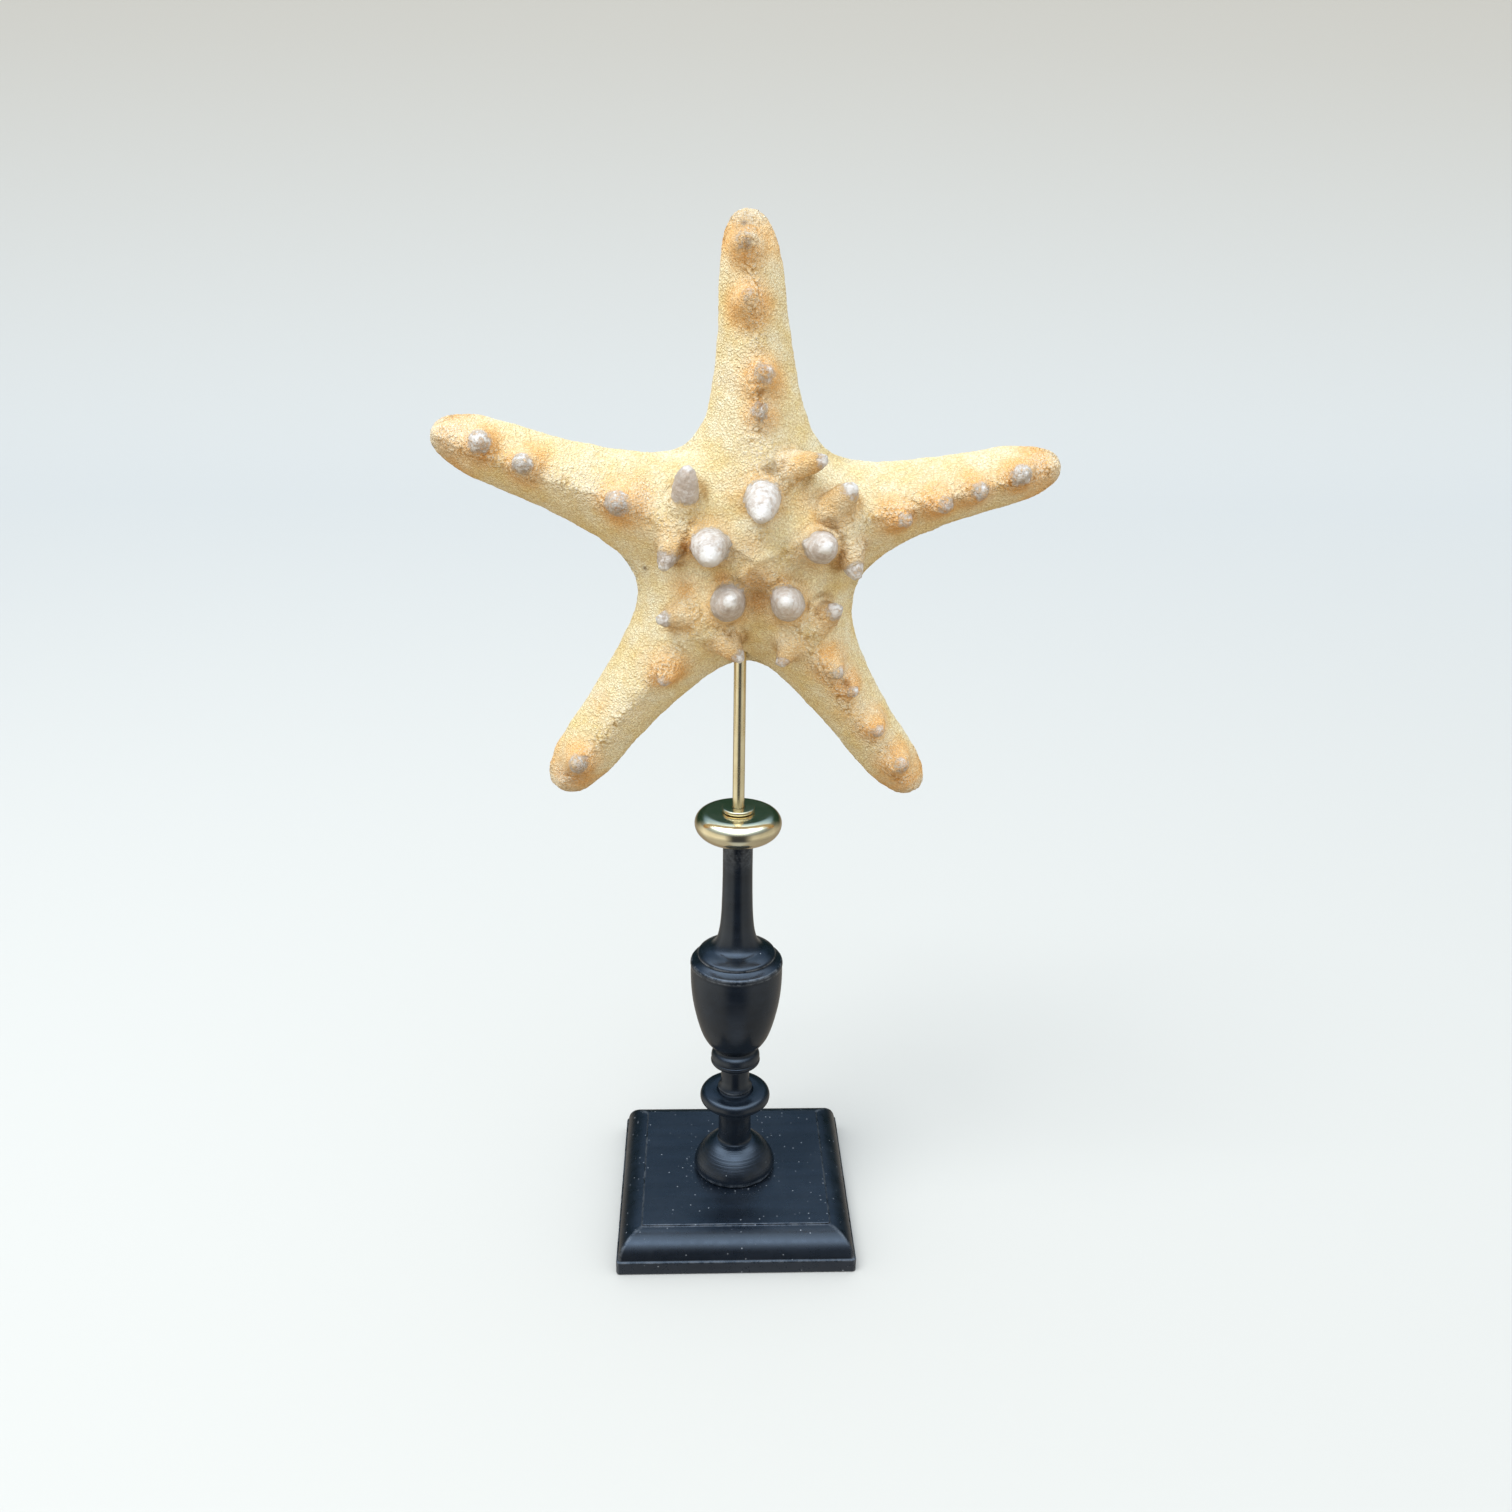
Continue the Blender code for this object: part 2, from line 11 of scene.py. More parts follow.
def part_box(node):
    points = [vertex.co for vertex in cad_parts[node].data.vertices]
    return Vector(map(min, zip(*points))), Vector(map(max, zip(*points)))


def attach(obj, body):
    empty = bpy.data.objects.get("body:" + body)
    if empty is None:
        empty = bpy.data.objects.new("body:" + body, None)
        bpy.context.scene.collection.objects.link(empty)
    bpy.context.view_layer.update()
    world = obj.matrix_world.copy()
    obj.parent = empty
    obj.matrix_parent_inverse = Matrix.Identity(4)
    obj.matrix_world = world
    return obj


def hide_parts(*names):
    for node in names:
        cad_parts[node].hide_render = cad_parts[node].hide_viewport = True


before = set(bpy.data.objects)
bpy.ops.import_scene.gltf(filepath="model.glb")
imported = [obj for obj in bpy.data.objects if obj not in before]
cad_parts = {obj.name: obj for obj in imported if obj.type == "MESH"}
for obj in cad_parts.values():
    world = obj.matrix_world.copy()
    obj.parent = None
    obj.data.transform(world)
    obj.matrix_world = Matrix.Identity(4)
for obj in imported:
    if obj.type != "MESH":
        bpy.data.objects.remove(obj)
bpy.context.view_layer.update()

bl_info = {
    "name": "Starfish on a turned stand",
    "version": (1, 0, 0),
    "blender": (4, 5, 0),
    "location": "3D View > Sidebar > Starfish",
    "description": "Builds the fine surface of a mounted dried starfish and its stand",
    "category": "Object",
}

MM = 0.001

# Starfish shape in millimetres, from its middle: right, up and out towards the viewer
STAR_X = 5.0
STAR_HEIGHT = 295.5
BACK_DEPTH = 8.5
BACK_BLEND = 3.0
MARGIN_DEPTH = 2.5
DISC_RADIUS = 33.0
DISC_RISE = 17.5

# Arms: angle in degrees, length, sideways bow, width near the tip, extra width towards the disc
ARMS = [
    (92.0, 118.2, -1.4, 10.2, 10.8),
    (160.5, 124.8, -0.2, 10.6, 11.8),
    (232.1, 125.0, -1.0, 10.9, 11.5),
    (303.6, 119.6, -2.6, 9.9, 9.6),
    (15.5, 117.6, 2.3, 9.8, 10.0),
]
ARM_BLEND = 4.0
FIELD_SCALE = 0.8
BELLY_BELOW_BACK = 2.0
ARM_CAP = 27.0
ARM_CAP_POWER = 2.6
ARM_HEEL = 12.0
FLARE_START = 40.0
FLARE_FADE = 27.0
WIDEST_ARM = 34.0
CREST_AT_TIP = 6.0
CREST_RISE = 17.0
CREST_FADE = 80.0
CREST_DIP = 0.16
CREST_DIP_REACH = 15.0
CREST_SOFTNESS = 0.6
UPPER_POWER = 1.34
LOWER_POWER = 2.2

# A spine whose pearly tip starts here has none
NO_PEARL = 2.0

# Spines: foot, tip, foot radius, how white the tip is, share of the spine where the pearly tip starts
PRIMARY_SPINES = [
    ((2.1, 23.0, 15.5), (0.6, 17.6, 33.5), 6.4, 0.95, 0.05),
    ((-17.2, 5.4, 16.0), (-17.0, 2.8, 34.0), 6.6, 0.95, 0.08),
    ((-10.6, -18.0, 15.0), (-9.6, -12.0, 33.5), 6.7, 0.35, 0.22),
    ((12.1, -17.8, 15.0), (10.0, -12.2, 33.5), 6.5, 0.55, 0.22),
    ((22.5, 4.0, 16.0), (24.0, 7.4, 33.0), 6.3, 0.45, 0.22),
]
FLANK_SPINES = [
    ((12.6, 32.3, 12.0), (25.0, 35.8, 17.5), 4.8, 0.4, 0.72),
    ((3.6, 31.0, 13.0), (4.1, 35.0, 18.0), 3.0, 0.9, NO_PEARL),
    ((-26.6, 15.5, 12.0), (-25.4, 27.5, 18.0), 5.0, 0.0, NO_PEARL),
    ((-25.7, 24.6, 15.6), (-24.6, 33.6, 21.0), 4.6, 0.3, -0.3),
    ((-29.2, 7.0, 12.0), (-34.2, -4.2, 20.0), 5.0, 0.4, 0.5),
    ((-24.2, -22.7, 11.0), (-36.6, -23.2, 18.5), 4.7, 0.5, 0.66),
    ((-11.5, -32.6, 10.0), (-4.8, -39.0, 17.5), 4.8, 0.6, 0.7),
    ((15.5, -32.5, 10.0), (8.8, -41.0, 17.5), 4.6, 0.5, 0.72),
    ((25.0, -23.9, 10.0), (31.0, -18.2, 18.5), 4.7, 0.5, 0.62),
    ((33.6, 2.6, 11.0), (37.0, -7.6, 17.5), 5.0, 0.9, 0.55),
    ((27.4, 16.0, 12.0), (34.0, 27.4, 20.5), 6.2, 0.6, 0.74),
]
ARM_KNOBS = [
    ((0.9, 49.5, 9.0), (0.4, 52.9, 16.5), 3.9, 0.5, 0.55),
    ((1.2, 60.7, 8.0), (2.5, 66.4, 17.5), 5.2, 0.5, 0.6),
    ((-4.0, 86.6, 6.0), (-4.6, 90.8, 14.5), 5.2, 0.1, 0.75),
    ((-4.9, 105.7, 4.0), (-6.1, 108.4, 12.5), 5.2, 0.2, 0.6),
    ((-46.7, 18.0, 9.0), (-52.0, 20.2, 19.5), 5.6, 0.8, 0.5),
    ((-82.2, 31.4, 6.0), (-84.2, 33.2, 15.5), 4.7, 0.95, 0.55),
    ((-98.6, 38.5, 5.0), (-98.3, 40.6, 14.5), 5.0, 0.9, 0.5),
    ((-32.1, -43.4, 9.0), (-34.4, -48.0, 17.5), 4.7, 0.6, 0.75),
    ((-67.2, -83.4, 5.0), (-67.5, -82.0, 14.5), 5.1, 0.6, 0.55),
    ((28.1, -40.8, 9.0), (32.0, -44.6, 17.5), 4.8, 0.6, 0.7),
    ((35.4, -50.2, 8.0), (38.0, -52.0, 16.5), 4.2, 0.7, 0.7),
    ((46.2, -66.3, 7.0), (48.4, -68.2, 15.5), 4.5, 0.6, 0.7),
    ((56.1, -82.9, 5.0), (58.5, -82.3, 14.5), 5.1, 0.5, 0.65),
    ((50.2, 14.8, 9.0), (54.8, 13.8, 18.5), 4.8, 0.6, 0.65),
    ((65.4, 19.8, 8.0), (69.0, 19.2, 17.5), 4.8, 0.6, 0.65),
    ((78.5, 23.7, 7.0), (81.6, 24.3, 15.5), 4.6, 0.7, 0.6),
    ((96.0, 29.3, 5.0), (95.3, 30.6, 14.5), 4.9, 0.9, 0.55),
]
SPINE_FULLNESS = 2.2
SPINE_POINT = 0.62
SPINE_BLEND = 2.6
KNOB_BLEND = 4.6
BEAD_BLEND = 1.8
BEAD_SHARE = 0.27
BEAD_DEPTH = 0.75

# Spines whose foot is at least this far out are on the disc, and above the second figure are the tall ones
DISC_FOOT = 10.0
TALL_FOOT = 15.0

# Raised ridges of the disc: the hub's arms to the primary spines, then the mounts between flank spines
HUB = (0.2, -1.4, 13.2)
HUB_RIDGE_END = 13.0
HUB_RIDGE_RADII = (3.6, 4.6)
DISC_MOUNTS = [
    ((1.9, 22.0, 10.5), (12.0, 32.0, 10.0), 6.4, 5.4),
    ((1.9, 22.0, 10.5), (2.5, 36.0, 8.5), 6.4, 5.0),
    ((-26.5, 18.0, 11.5), (-29.0, 5.0, 11.5), 5.4, 5.4),
    ((-17.0, 4.0, 11.0), (-28.0, 11.0, 10.5), 6.0, 5.2),
    ((-24.0, -22.0, 10.5), (-12.0, -32.0, 9.5), 5.4, 5.4),
    ((-11.0, -18.0, 11.0), (-18.5, -27.5, 10.0), 6.0, 5.2),
    ((15.0, -31.5, 9.5), (25.0, -24.0, 10.0), 5.4, 5.4),
    ((12.0, -18.0, 11.0), (20.5, -28.0, 10.0), 6.0, 5.2),
    ((34.0, 3.0, 11.0), (28.5, 17.0, 11.5), 5.6, 5.8),
    ((22.7, 4.4, 11.0), (31.5, 10.0, 10.5), 6.0, 5.4),
]
RIDGE_BLEND = 3.2

# Hollows between the ridges of the disc: right, up, radius, depth
VALLEYS = [
    (0.7, -15.5, 6.5, 4.4),
    (-16.0, -7.5, 5.5, 2.8),
    (19.0, -7.0, 5.5, 2.8),
    (-9.5, 14.5, 5.0, 1.0),
    (13.0, 14.5, 5.0, 1.2),
    (0.8, -30.0, 5.5, 1.6),
]
VALLEY_RANGE = (6.0, 11.0)

# A thin raised line along the hub's upper ridges
HUB_LINES = [((-14.0, 8.5), (0.2, -0.5)), ((0.2, -0.5), (17.5, 6.5)), ((0.2, -0.5), (-6.5, -7.5))]
HUB_LINE_HEIGHT = 1.1
HUB_LINE_WIDTH = 1.3
HUB_FLOOR = 8.0

# Grooves along the flat back of the arms, meeting at the mouth
GROOVE_DEPTH = 2.4
GROOVE_HALF_WIDTH = 2.6
GROOVE_END = 0.93
GROOVE_FADE = 12.0
MOUTH_DEPTH = 3.5
MOUTH_RADIUS = 6.0

# Fitting the voxel grid to the exact skin, in millimetres, except round the hole drilled for the rod
SETTLE_PASSES = 3
LONGEST_MOVE = 1.5
FLATTEST_SLOPE = 0.15
FLAT_BACK_LIMIT = -4.5
ROD_CLEAR = 3.4

# Sizes of the modelled grains, lumps and knurls, in millimetres
COARSE_GRAIN = 2.1
FINE_GRAIN = 1.25
LARGE_LUMP = 6.5
SMALL_LUMP = 2.8
KNURL = 1.9
KNURL_RINGS = 34.0

# Patches of skin: right, up, radius, strength
STAIN_PATCHES = [
    (-24.1, 4.0, 5.0, 0.9),
    (0.6, -17.0, 5.5, 1.0),
    (-3.0, 4.0, 5.5, 0.5),
    (0.2, -8.0, 7.0, 0.85),
    (-12.0, -9.0, 4.5, 0.7),
    (10.0, -9.0, 4.5, 0.6),
    (-25.6, -13.0, 5.5, 0.8),
    (24.0, 13.0, 5.0, 0.7),
    (18.0, 20.0, 5.0, 0.45),
    (-8.0, 24.0, 5.0, 0.35),
    (-42.0, 12.0, 6.0, 0.45),
    (-58.7, -60.0, 5.0, 0.4),
    (-38.0, -42.0, 6.0, 0.45),
    (38.0, -60.0, 7.0, 0.5),
    (60.0, 17.0, 7.0, 0.4),
]
PALE_PATCHES = [
    (-11.8, 61.4, 5.0, 0.6),
    (-61.8, 24.3, 7.0, 0.75),
    (-40.0, 21.0, 5.5, 0.8),
    (-1.1, 40.0, 10.0, 0.55),
    (6.0, 33.0, 6.0, 0.8),
    (-46.0, -62.0, 5.0, 0.5),
    (-55.0, -73.0, 5.0, 0.5),
    (34.0, -47.0, 4.0, 0.5),
    (52.0, -74.0, 4.0, 0.4),
    (-72.0, 27.0, 6.0, 0.5),
    (-74.7, -92.0, 4.5, 0.9),
    (-110.0, 45.0, 6.5, 1.0),
    (-104.0, 44.0, 5.0, 0.7),
    (104.0, 33.0, 4.5, 0.6),
    (29.0, 9.0, 5.0, 0.45),
    (39.5, 4.0, 4.5, 0.6),
    (-29.0, -2.0, 4.0, 0.3),
    (-117.0, 41.0, 5.0, 1.0),
    (-77.5, -98.5, 4.0, 0.8),
    (67.0, -99.0, 4.0, 0.7),
    (113.5, 32.0, 4.5, 0.9),
]
# Dark spots on the skin, and painted shade in the disc's hollows: right, up, radius, strength
DARK_SPOTS_AND_VALLEY_SHADE = [
    (-5.4, 113.3, 1.4, 0.8),
    (-6.0, 114.6, 4.6, 0.36),
    # These seven paint shade into the disc's hollows round the hub
    (0.7, -15.0, 4.5, 0.32),
    (0.9, -20.5, 4.5, 0.28),
    (0.4, -7.5, 4.5, 0.2),
    (-3.5, 3.5, 5.5, 0.2),
    (7.0, 5.0, 5.0, 0.1),
    (-14.5, -5.5, 4.0, 0.1),
    (14.5, -6.0, 4.0, 0.1),
    (-41.0, -7.4, 0.9, 0.8),
    (-5.3, 110.5, 4.0, 0.22),
    (-112.0, 35.5, 5.0, 0.22),
    (-70.0, -89.0, 5.0, 0.2),
]

# Where the marks on the skin start and end, in millimetres or shares, and how strong they are
FRONT_RANGE = (-6.0, 2.0)
PEARL_EDGE = (-2.2, -0.5)
RING_REACH_ON_DISC = 1.55
RING_REACH_ON_ARM = 1.8
RING_STAIN_ON_DISC = 0.6
RING_STAIN_ON_ARM = 0.9
ARM_END_RANGE = (0.80, 0.92)
ARM_POINT_RANGE = (0.94, 0.99)
ARM_REACH = 16.0
ARM_END_STAIN = 0.75
ARM_POINT_CLEAR = 0.6
ARM_POINT_PALE = 0.9
HORN_PEARL = 0.8
ARM_PEARL = 0.75
KNOB_CAP = 0.95
MOTTLING = 0.5
HORN_SHADE = 0.2
# For the painted shade in the skin's hollows: how far out from the skin the openness is measured, and its range
SHELTER_REACH = 5.0
SHELTER_RANGE = (0.25, 0.92)
CREST_WIDTH = 4.2
RIDGE_GRAIN = 0.9
RIDGE_GRAIN_REACH = 2.2

# Fixed tints of the skin, the wood and the air behind. The grain gap and hollow tints are painted shade, and the
# spot colour paints both dark spots and shade in the disc's hollows
GRAIN_GAP_SHADE = (0.48, 0.31, 0.12, 1.0)
SPOT_AND_SHADE_COLOUR = (0.10, 0.05, 0.03, 1.0)
PAINTED_HOLLOW_SHADE = (0.52, 0.38, 0.23, 1.0)
TIP_RING_TINT = (0.78, 0.68, 0.62, 1.0)
FILM_COLOUR = (0.30, 0.36, 0.44, 1.0)
SPECK_COLOUR = (0.50, 0.56, 0.64, 1.0)
BACKDROP_COLOUR = (0.72, 0.76, 0.76, 1.0)

# Square base, in metres
BASE_HALF = 0.05
BASE_BAND = 0.0058
PANEL_INSET = 0.0105
PANEL_STEP = 0.0010
BAND_LEDGE = 0.0008
HOLLOW_LIFT = 0.0003
CORNER_ROUND = 0.0016
HOLLOW_STEPS = 15
BEVELLED_FROM = 24.0

# Wear, crumbs and turning marks on the wood, in metres
MITRE_WEAR = (0.0004, 0.0016)
EDGE_WEAR = (0.0001, 0.0006)
CRUMB_RADIUS = 0.0190
CRUMB_REACH = 0.0034
BELL_TOP = (0.030, 0.036)

# Small broken edges in millimetres, sides of each turned shape, and angles from which shading creases
EDGE_BREAK = 0.3
COLUMN_SIDES = 144
COLLAR_SIDES = 128
WASHER_SIDES = 96
ROD_SIDES = 64
BASE_CREASE = 15.0
COLUMN_CREASE = 25.0
BRASS_CREASE = 14.0
WORN_TURN = 16.0

# Brass fittings in millimetres
FITTING_BORE = 2.7
COLLAR_FLOOR = 2.0
COLLAR_MIDDLE = 7.0
COLLAR_SHOULDER = 5.0
COLLAR_UNDERSIDE = (9.1, 7.0)
COLLAR_SEAT = 6.2
WASHER_ROUND = 0.5

# Column outlines in millimetres as (radius, height), from the top down
NECK_OUTLINE = [
    (6.1, 162.0), (6.25, 152.0), (6.5, 144.0), (6.85, 139.0), (7.35, 135.0), (8.2, 131.4), (9.4, 128.9),
    (11.0, 127.3), (13.4, 126.2), (15.6, 124.9), (16.25, 124.1),
]
SHOULDER_STEP = [(16.3, 123.5), (15.9, 122.9), (16.3, 122.4), (18.3, 121.3), (18.7, 121.1)]
URN_LIP = [(19.1, 120.6), (19.3, 120.0), (19.35, 119.4), (19.2, 118.8)]
URN_OUTLINE = [
    (19.15, 118.4), (19.2, 114.0), (18.95, 108.0), (18.3, 102.0), (17.3, 96.6), (16.0, 91.2), (14.3, 86.0),
    (12.4, 82.4), (10.4, 80.0), (9.1, 78.9), (8.8, 78.3),
]
SMALL_RING_OUTLINE = [
    (8.75, 77.7), (9.1, 77.1), (9.9, 76.1), (10.35, 74.8), (10.35, 73.6), (10.15, 73.0), (10.4, 72.6),
    (10.55, 71.9), (10.2, 71.1), (9.3, 70.4), (8.1, 70.0), (7.2, 69.8), (6.6, 69.3), (6.2, 68.6),
]
LOWER_NECK_OUTLINE = [(6.0, 68.0), (6.05, 64.5), (6.2, 61.8), (6.6, 60.2), (7.3, 58.9)]
NECK_BEAD = [(7.45, 58.5), (7.35, 57.9), (7.0, 57.4), (7.3, 56.9), (7.9, 57.15)]
LARGE_RING_TOP = [(8.2, 57.2), (10.4, 57.25), (12.3, 57.0)]
LARGE_RING_MIDDLE = (12.3, 53.9)
LARGE_RING_RADII = (2.8, 3.1)
WAIST_OUTLINE = [(12.2, 50.7), (9.4, 49.4), (7.8, 47.8), (7.1, 45.0), (7.1, 36.0)]
BELL_NECK_OUTLINE = [(7.1, 33.0), (7.2, 32.2), (7.6, 31.6)]
BELL_MIDDLE = (7.6, 19.6)
BELL_RADII = (10.1, 12.0)
BELL_SQUARENESS = 1.47
BELL_RIM = [(17.65, 18.6), (17.3, 17.6)]
BELL_SEAT = 16.6

# Pale sweep, in metres: how far it reaches in front and behind, its curve, its wall and its width
SWEEP_FRONT = -2.2
SWEEP_BACK = 1.6
SWEEP_CURVE = 0.8
SWEEP_TOP = 3.2
SWEEP_WIDTH = 6.0
FLOOR_GAP = 0.0002

# Main light
KEY_SIZE = 0.7
KEY_COLOUR = (1.0, 0.985, 0.96)
KEY_PLACE = (-0.55, -0.42, 1.45)
KEY_TARGET = (0.0, 0.0, 0.27)

# The world's colours are divided by this, because a ramp's colours stop at 1
RAMP_TOP = 8.0

# Surroundings by height of the direction, from -1 straight down to 1 straight up, as reflections show them
# on the camera's side, at the sides and beyond the part, and then as they light matt surfaces
NEAR_SKY = [
    (-1.0, (0.52, 0.59, 0.68)), (-0.78, (0.52, 0.59, 0.68)), (-0.58, (0.04, 0.05, 0.07)),
    (0.22, (0.05, 0.055, 0.065)), (0.42, (0.42, 0.51, 0.64)), (0.66, (1.8, 2.3, 2.9)),
    (0.80, (4.0, 5.5, 7.7)), (1.0, (1.8, 2.4, 3.1)),
]
SIDE_SKY = [
    (-1.0, (0.44, 0.44, 0.42)), (-0.6, (0.44, 0.45, 0.44)), (-0.34, (0.82, 0.84, 0.80)),
    (0.1, (0.66, 0.68, 0.65)), (0.3, (0.27, 0.33, 0.39)), (0.56, (0.5, 0.66, 0.88)),
    (0.80, (3.2, 4.3, 5.8)), (1.0, (1.8, 2.4, 3.1)),
]
FAR_SKY = [
    (-1.0, (0.36, 0.33, 0.29)), (-0.30, (0.36, 0.34, 0.30)), (-0.05, (0.10, 0.11, 0.09)),
    (0.05, (0.015, 0.04, 0.027)), (0.48, (0.018, 0.055, 0.038)), (0.60, (0.26, 0.46, 0.75)),
    (0.82, (0.7, 1.0, 1.4)), (1.0, (1.8, 2.4, 3.1)),
]
SOFT_SKY = [
    (-1.0, (0.54, 0.40, 0.25)), (-0.08, (0.70, 0.58, 0.42)), (0.05, (0.98, 0.99, 0.97)),
    (0.5, (1.14, 1.17, 1.20)), (1.0, (1.40, 1.45, 1.50)),
]
NEAR_TO_SIDES = (-0.97, -0.80)
SIDES_TO_FAR = (0.2, 0.7)
SIDE_SLANT = -0.25
SOFT_TILT = (0.04, -0.22)

# Camera fitted to the photo: place in metres, angles in degrees, lens and sensor in millimetres
CAMERA_PLACE = (-0.0155, -0.5148, 0.4132)
CAMERA_PITCH = 21.33
CAMERA_YAW = 2.47
CAMERA_ROLL = 0.96
CAMERA_SENSOR = 36.0
CAMERA_LENS = 33.333


class StarfishSettings(bpy.types.PropertyGroup):
    cell: bpy.props.FloatProperty(
        name="Cell", description="Grid size of the fine skin", default=0.00084, min=0.0005, unit="LENGTH"
    )
    grain: bpy.props.FloatProperty(
        name="Grain", description="Height of the coarse grains", default=0.00052, min=0.0, unit="LENGTH"
    )
    cream: bpy.props.FloatVectorProperty(
        name="Cream", description="Main colour of the skin", subtype="COLOR", default=(0.96, 0.90, 0.575)
    )
    stain: bpy.props.FloatVectorProperty(
        name="Stain", description="Orange-brown round the spines", subtype="COLOR", default=(0.98, 0.59, 0.225)
    )
    chalk: bpy.props.FloatVectorProperty(
        name="Chalk", description="Pale crumbs and bleached patches", subtype="COLOR", default=(0.95, 0.93, 0.82)
    )
    pearl: bpy.props.FloatVectorProperty(
        name="Pearl", description="White of the spine tips", subtype="COLOR", default=(0.67, 0.68, 0.68)
    )
    mauve: bpy.props.FloatVectorProperty(
        name="Mauve", description="Grey of the darker tips", subtype="COLOR", default=(0.40, 0.355, 0.315)
    )


class StandSettings(bpy.types.PropertyGroup):
    bevel: bpy.props.FloatProperty(
        name="Bevel", description="Rounding of the base's edges", default=0.0004, min=0.0, unit="LENGTH"
    )
    wood: bpy.props.FloatVectorProperty(
        name="Wood", description="Colour of the stained wood", subtype="COLOR", default=(0.0034, 0.0060, 0.0104)
    )
    worn: bpy.props.FloatVectorProperty(
        name="Worn", description="Colour where the stain has worn", subtype="COLOR", default=(0.074, 0.086, 0.102)
    )
    brass: bpy.props.FloatVectorProperty(
        name="Brass", description="Colour of the polished brass", subtype="COLOR", default=(0.87, 0.73, 0.46)
    )


class StageSettings(bpy.types.PropertyGroup):
    floor: bpy.props.FloatVectorProperty(
        name="Floor", description="Colour of the pale floor", subtype="COLOR", default=(0.545, 0.558, 0.545)
    )
    key: bpy.props.FloatProperty(name="Key light", description="Power of the main light", default=10.7, min=0.0)
    sky: bpy.props.FloatProperty(name="Sky", description="Strength of the soft light", default=1.06, min=0.0)


def smoothstep(value, low, high):
    share = np.clip((value - low) / (high - low), 0.0, 1.0)
    return share * share * (3.0 - 2.0 * share)


def blended(first, second, blend):
    """Smooth union of two distance fields."""
    share = np.clip(0.5 + 0.5 * (second - first) / blend, 0.0, 1.0)
    return second + (first - second) * share - blend * share * (1.0 - share)


def along_line(points, start, end):
    """For each point, its share of the way along a line and its distance from it."""
    start = np.array(start)
    line = np.array(end) - start
    offset = points - start
    share = np.clip(offset @ line / (line @ line), 0.0, 1.0)
    return share, np.linalg.norm(offset - share[:, None] * line, axis=1)


def ridge_field(points, start, end, start_radius, end_radius):
    """Distance to a rounded bar whose radius changes evenly along it."""
    share, gap = along_line(points, start, end)
    return gap - (start_radius + (end_radius - start_radius) * share)


def spine_field(points, foot, tip, radius):
    """Distance to a plump cone with a rounded point, standing on its foot."""
    share, gap = along_line(points, foot, tip)
    return gap - radius * (1.0 - share**SPINE_FULLNESS) ** SPINE_POINT


def bead_field(points, foot, tip, radius):
    """Distance to the small round bead that sits on a spine's tip."""
    along = np.array(tip) - np.array(foot)
    size = BEAD_SHARE * radius
    centre = np.array(tip) - along / np.linalg.norm(along) * size * BEAD_DEPTH
    return np.linalg.norm(points - centre, axis=1) - size


def arm_frame(points, angle, length, bow):
    """Distances along one arm and sideways from its gently bowed middle line."""
    turn = math.radians(angle)
    right, up = points[:, 0], points[:, 1]
    along = right * math.cos(turn) + up * math.sin(turn)
    run = np.clip(along, 0.0, length)
    across = up * math.cos(turn) - right * math.sin(turn) - bow * np.sin(math.pi * run / length)
    return along, run, across


def arm_field(points, arm):
    """One arm: a rounded ridge over a flatter belly, widening towards the disc."""
    angle, length, bow, tip_width, flare = arm
    along, run, across = arm_frame(points, angle, length, bow)
    width = np.minimum(tip_width + flare * np.exp((FLARE_START - run) / FLARE_FADE), WIDEST_ARM)
    dip = 1.0 - CREST_DIP * np.exp(-((run / CREST_DIP_REACH) ** 2))
    crest = (CREST_AT_TIP + CREST_RISE * np.exp(-run / CREST_FADE)) * dip
    belly = BACK_DEPTH - MARGIN_DEPTH + BELLY_BELOW_BACK
    lift = points[:, 2] + MARGIN_DEPTH
    above = lift > 0.0
    height = np.where(above, crest, belly)
    power = np.where(above, UPPER_POWER, LOWER_POWER)
    side = np.sqrt(across**2 + CREST_SOFTNESS) / width
    cap = (np.maximum(along - (length - ARM_CAP), 0.0) / ARM_CAP) ** ARM_CAP_POWER
    heel = (np.maximum(-along, 0.0) / ARM_HEEL) ** 2
    level = (side**power + (np.abs(lift) / height) ** power + cap + heel) ** (1.0 / power)
    return (level - 1.0) * np.minimum(width, height) * FIELD_SCALE


def disc_field(points):
    """The swollen middle of the body."""
    right, up, out = points.T
    lift = out + MARGIN_DEPTH
    level = np.sqrt((right**2 + up**2) / DISC_RADIUS**2 + (lift / DISC_RISE) ** 2)
    return (level - 1.0) * DISC_RISE


def disc_ridges():
    """Ridges from the hub to each primary spine, and the mounts between the flank spines."""
    ridges = []
    for foot, *_ in PRIMARY_SPINES:
        ridges.append((HUB, (foot[0], foot[1], HUB_RIDGE_END), *HUB_RIDGE_RADII))
    return ridges + DISC_MOUNTS


def starfish_field(points):
    """Signed distance in mm, negative inside, from the starfish's middle."""
    body = disc_field(points)
    for arm in ARMS:
        body = blended(body, arm_field(points, arm), ARM_BLEND)
    for ridge in disc_ridges():
        body = blended(body, ridge_field(points, *ridge), RIDGE_BLEND)
    for foot, tip, radius, *_ in ARM_KNOBS:
        body = blended(body, spine_field(points, foot, tip, radius), KNOB_BLEND)
    for foot, tip, radius, *_ in PRIMARY_SPINES + FLANK_SPINES:
        body = blended(body, spine_field(points, foot, tip, radius), SPINE_BLEND)
    for foot, tip, radius, *_ in FLANK_SPINES + ARM_KNOBS:
        body = blended(body, bead_field(points, foot, tip, radius), BEAD_BLEND)
    return -blended(-body, BACK_DEPTH + points[:, 2], BACK_BLEND)


def field_slope(points):
    """Gradient of the field, from small steps along each axis."""
    step = 0.06
    level = starfish_field(points)
    slope = np.empty_like(points)
    for axis in range(3):
        moved = points.copy()
        moved[:, axis] += step
        slope[:, axis] = (starfish_field(moved) - level) / step
    return level, slope


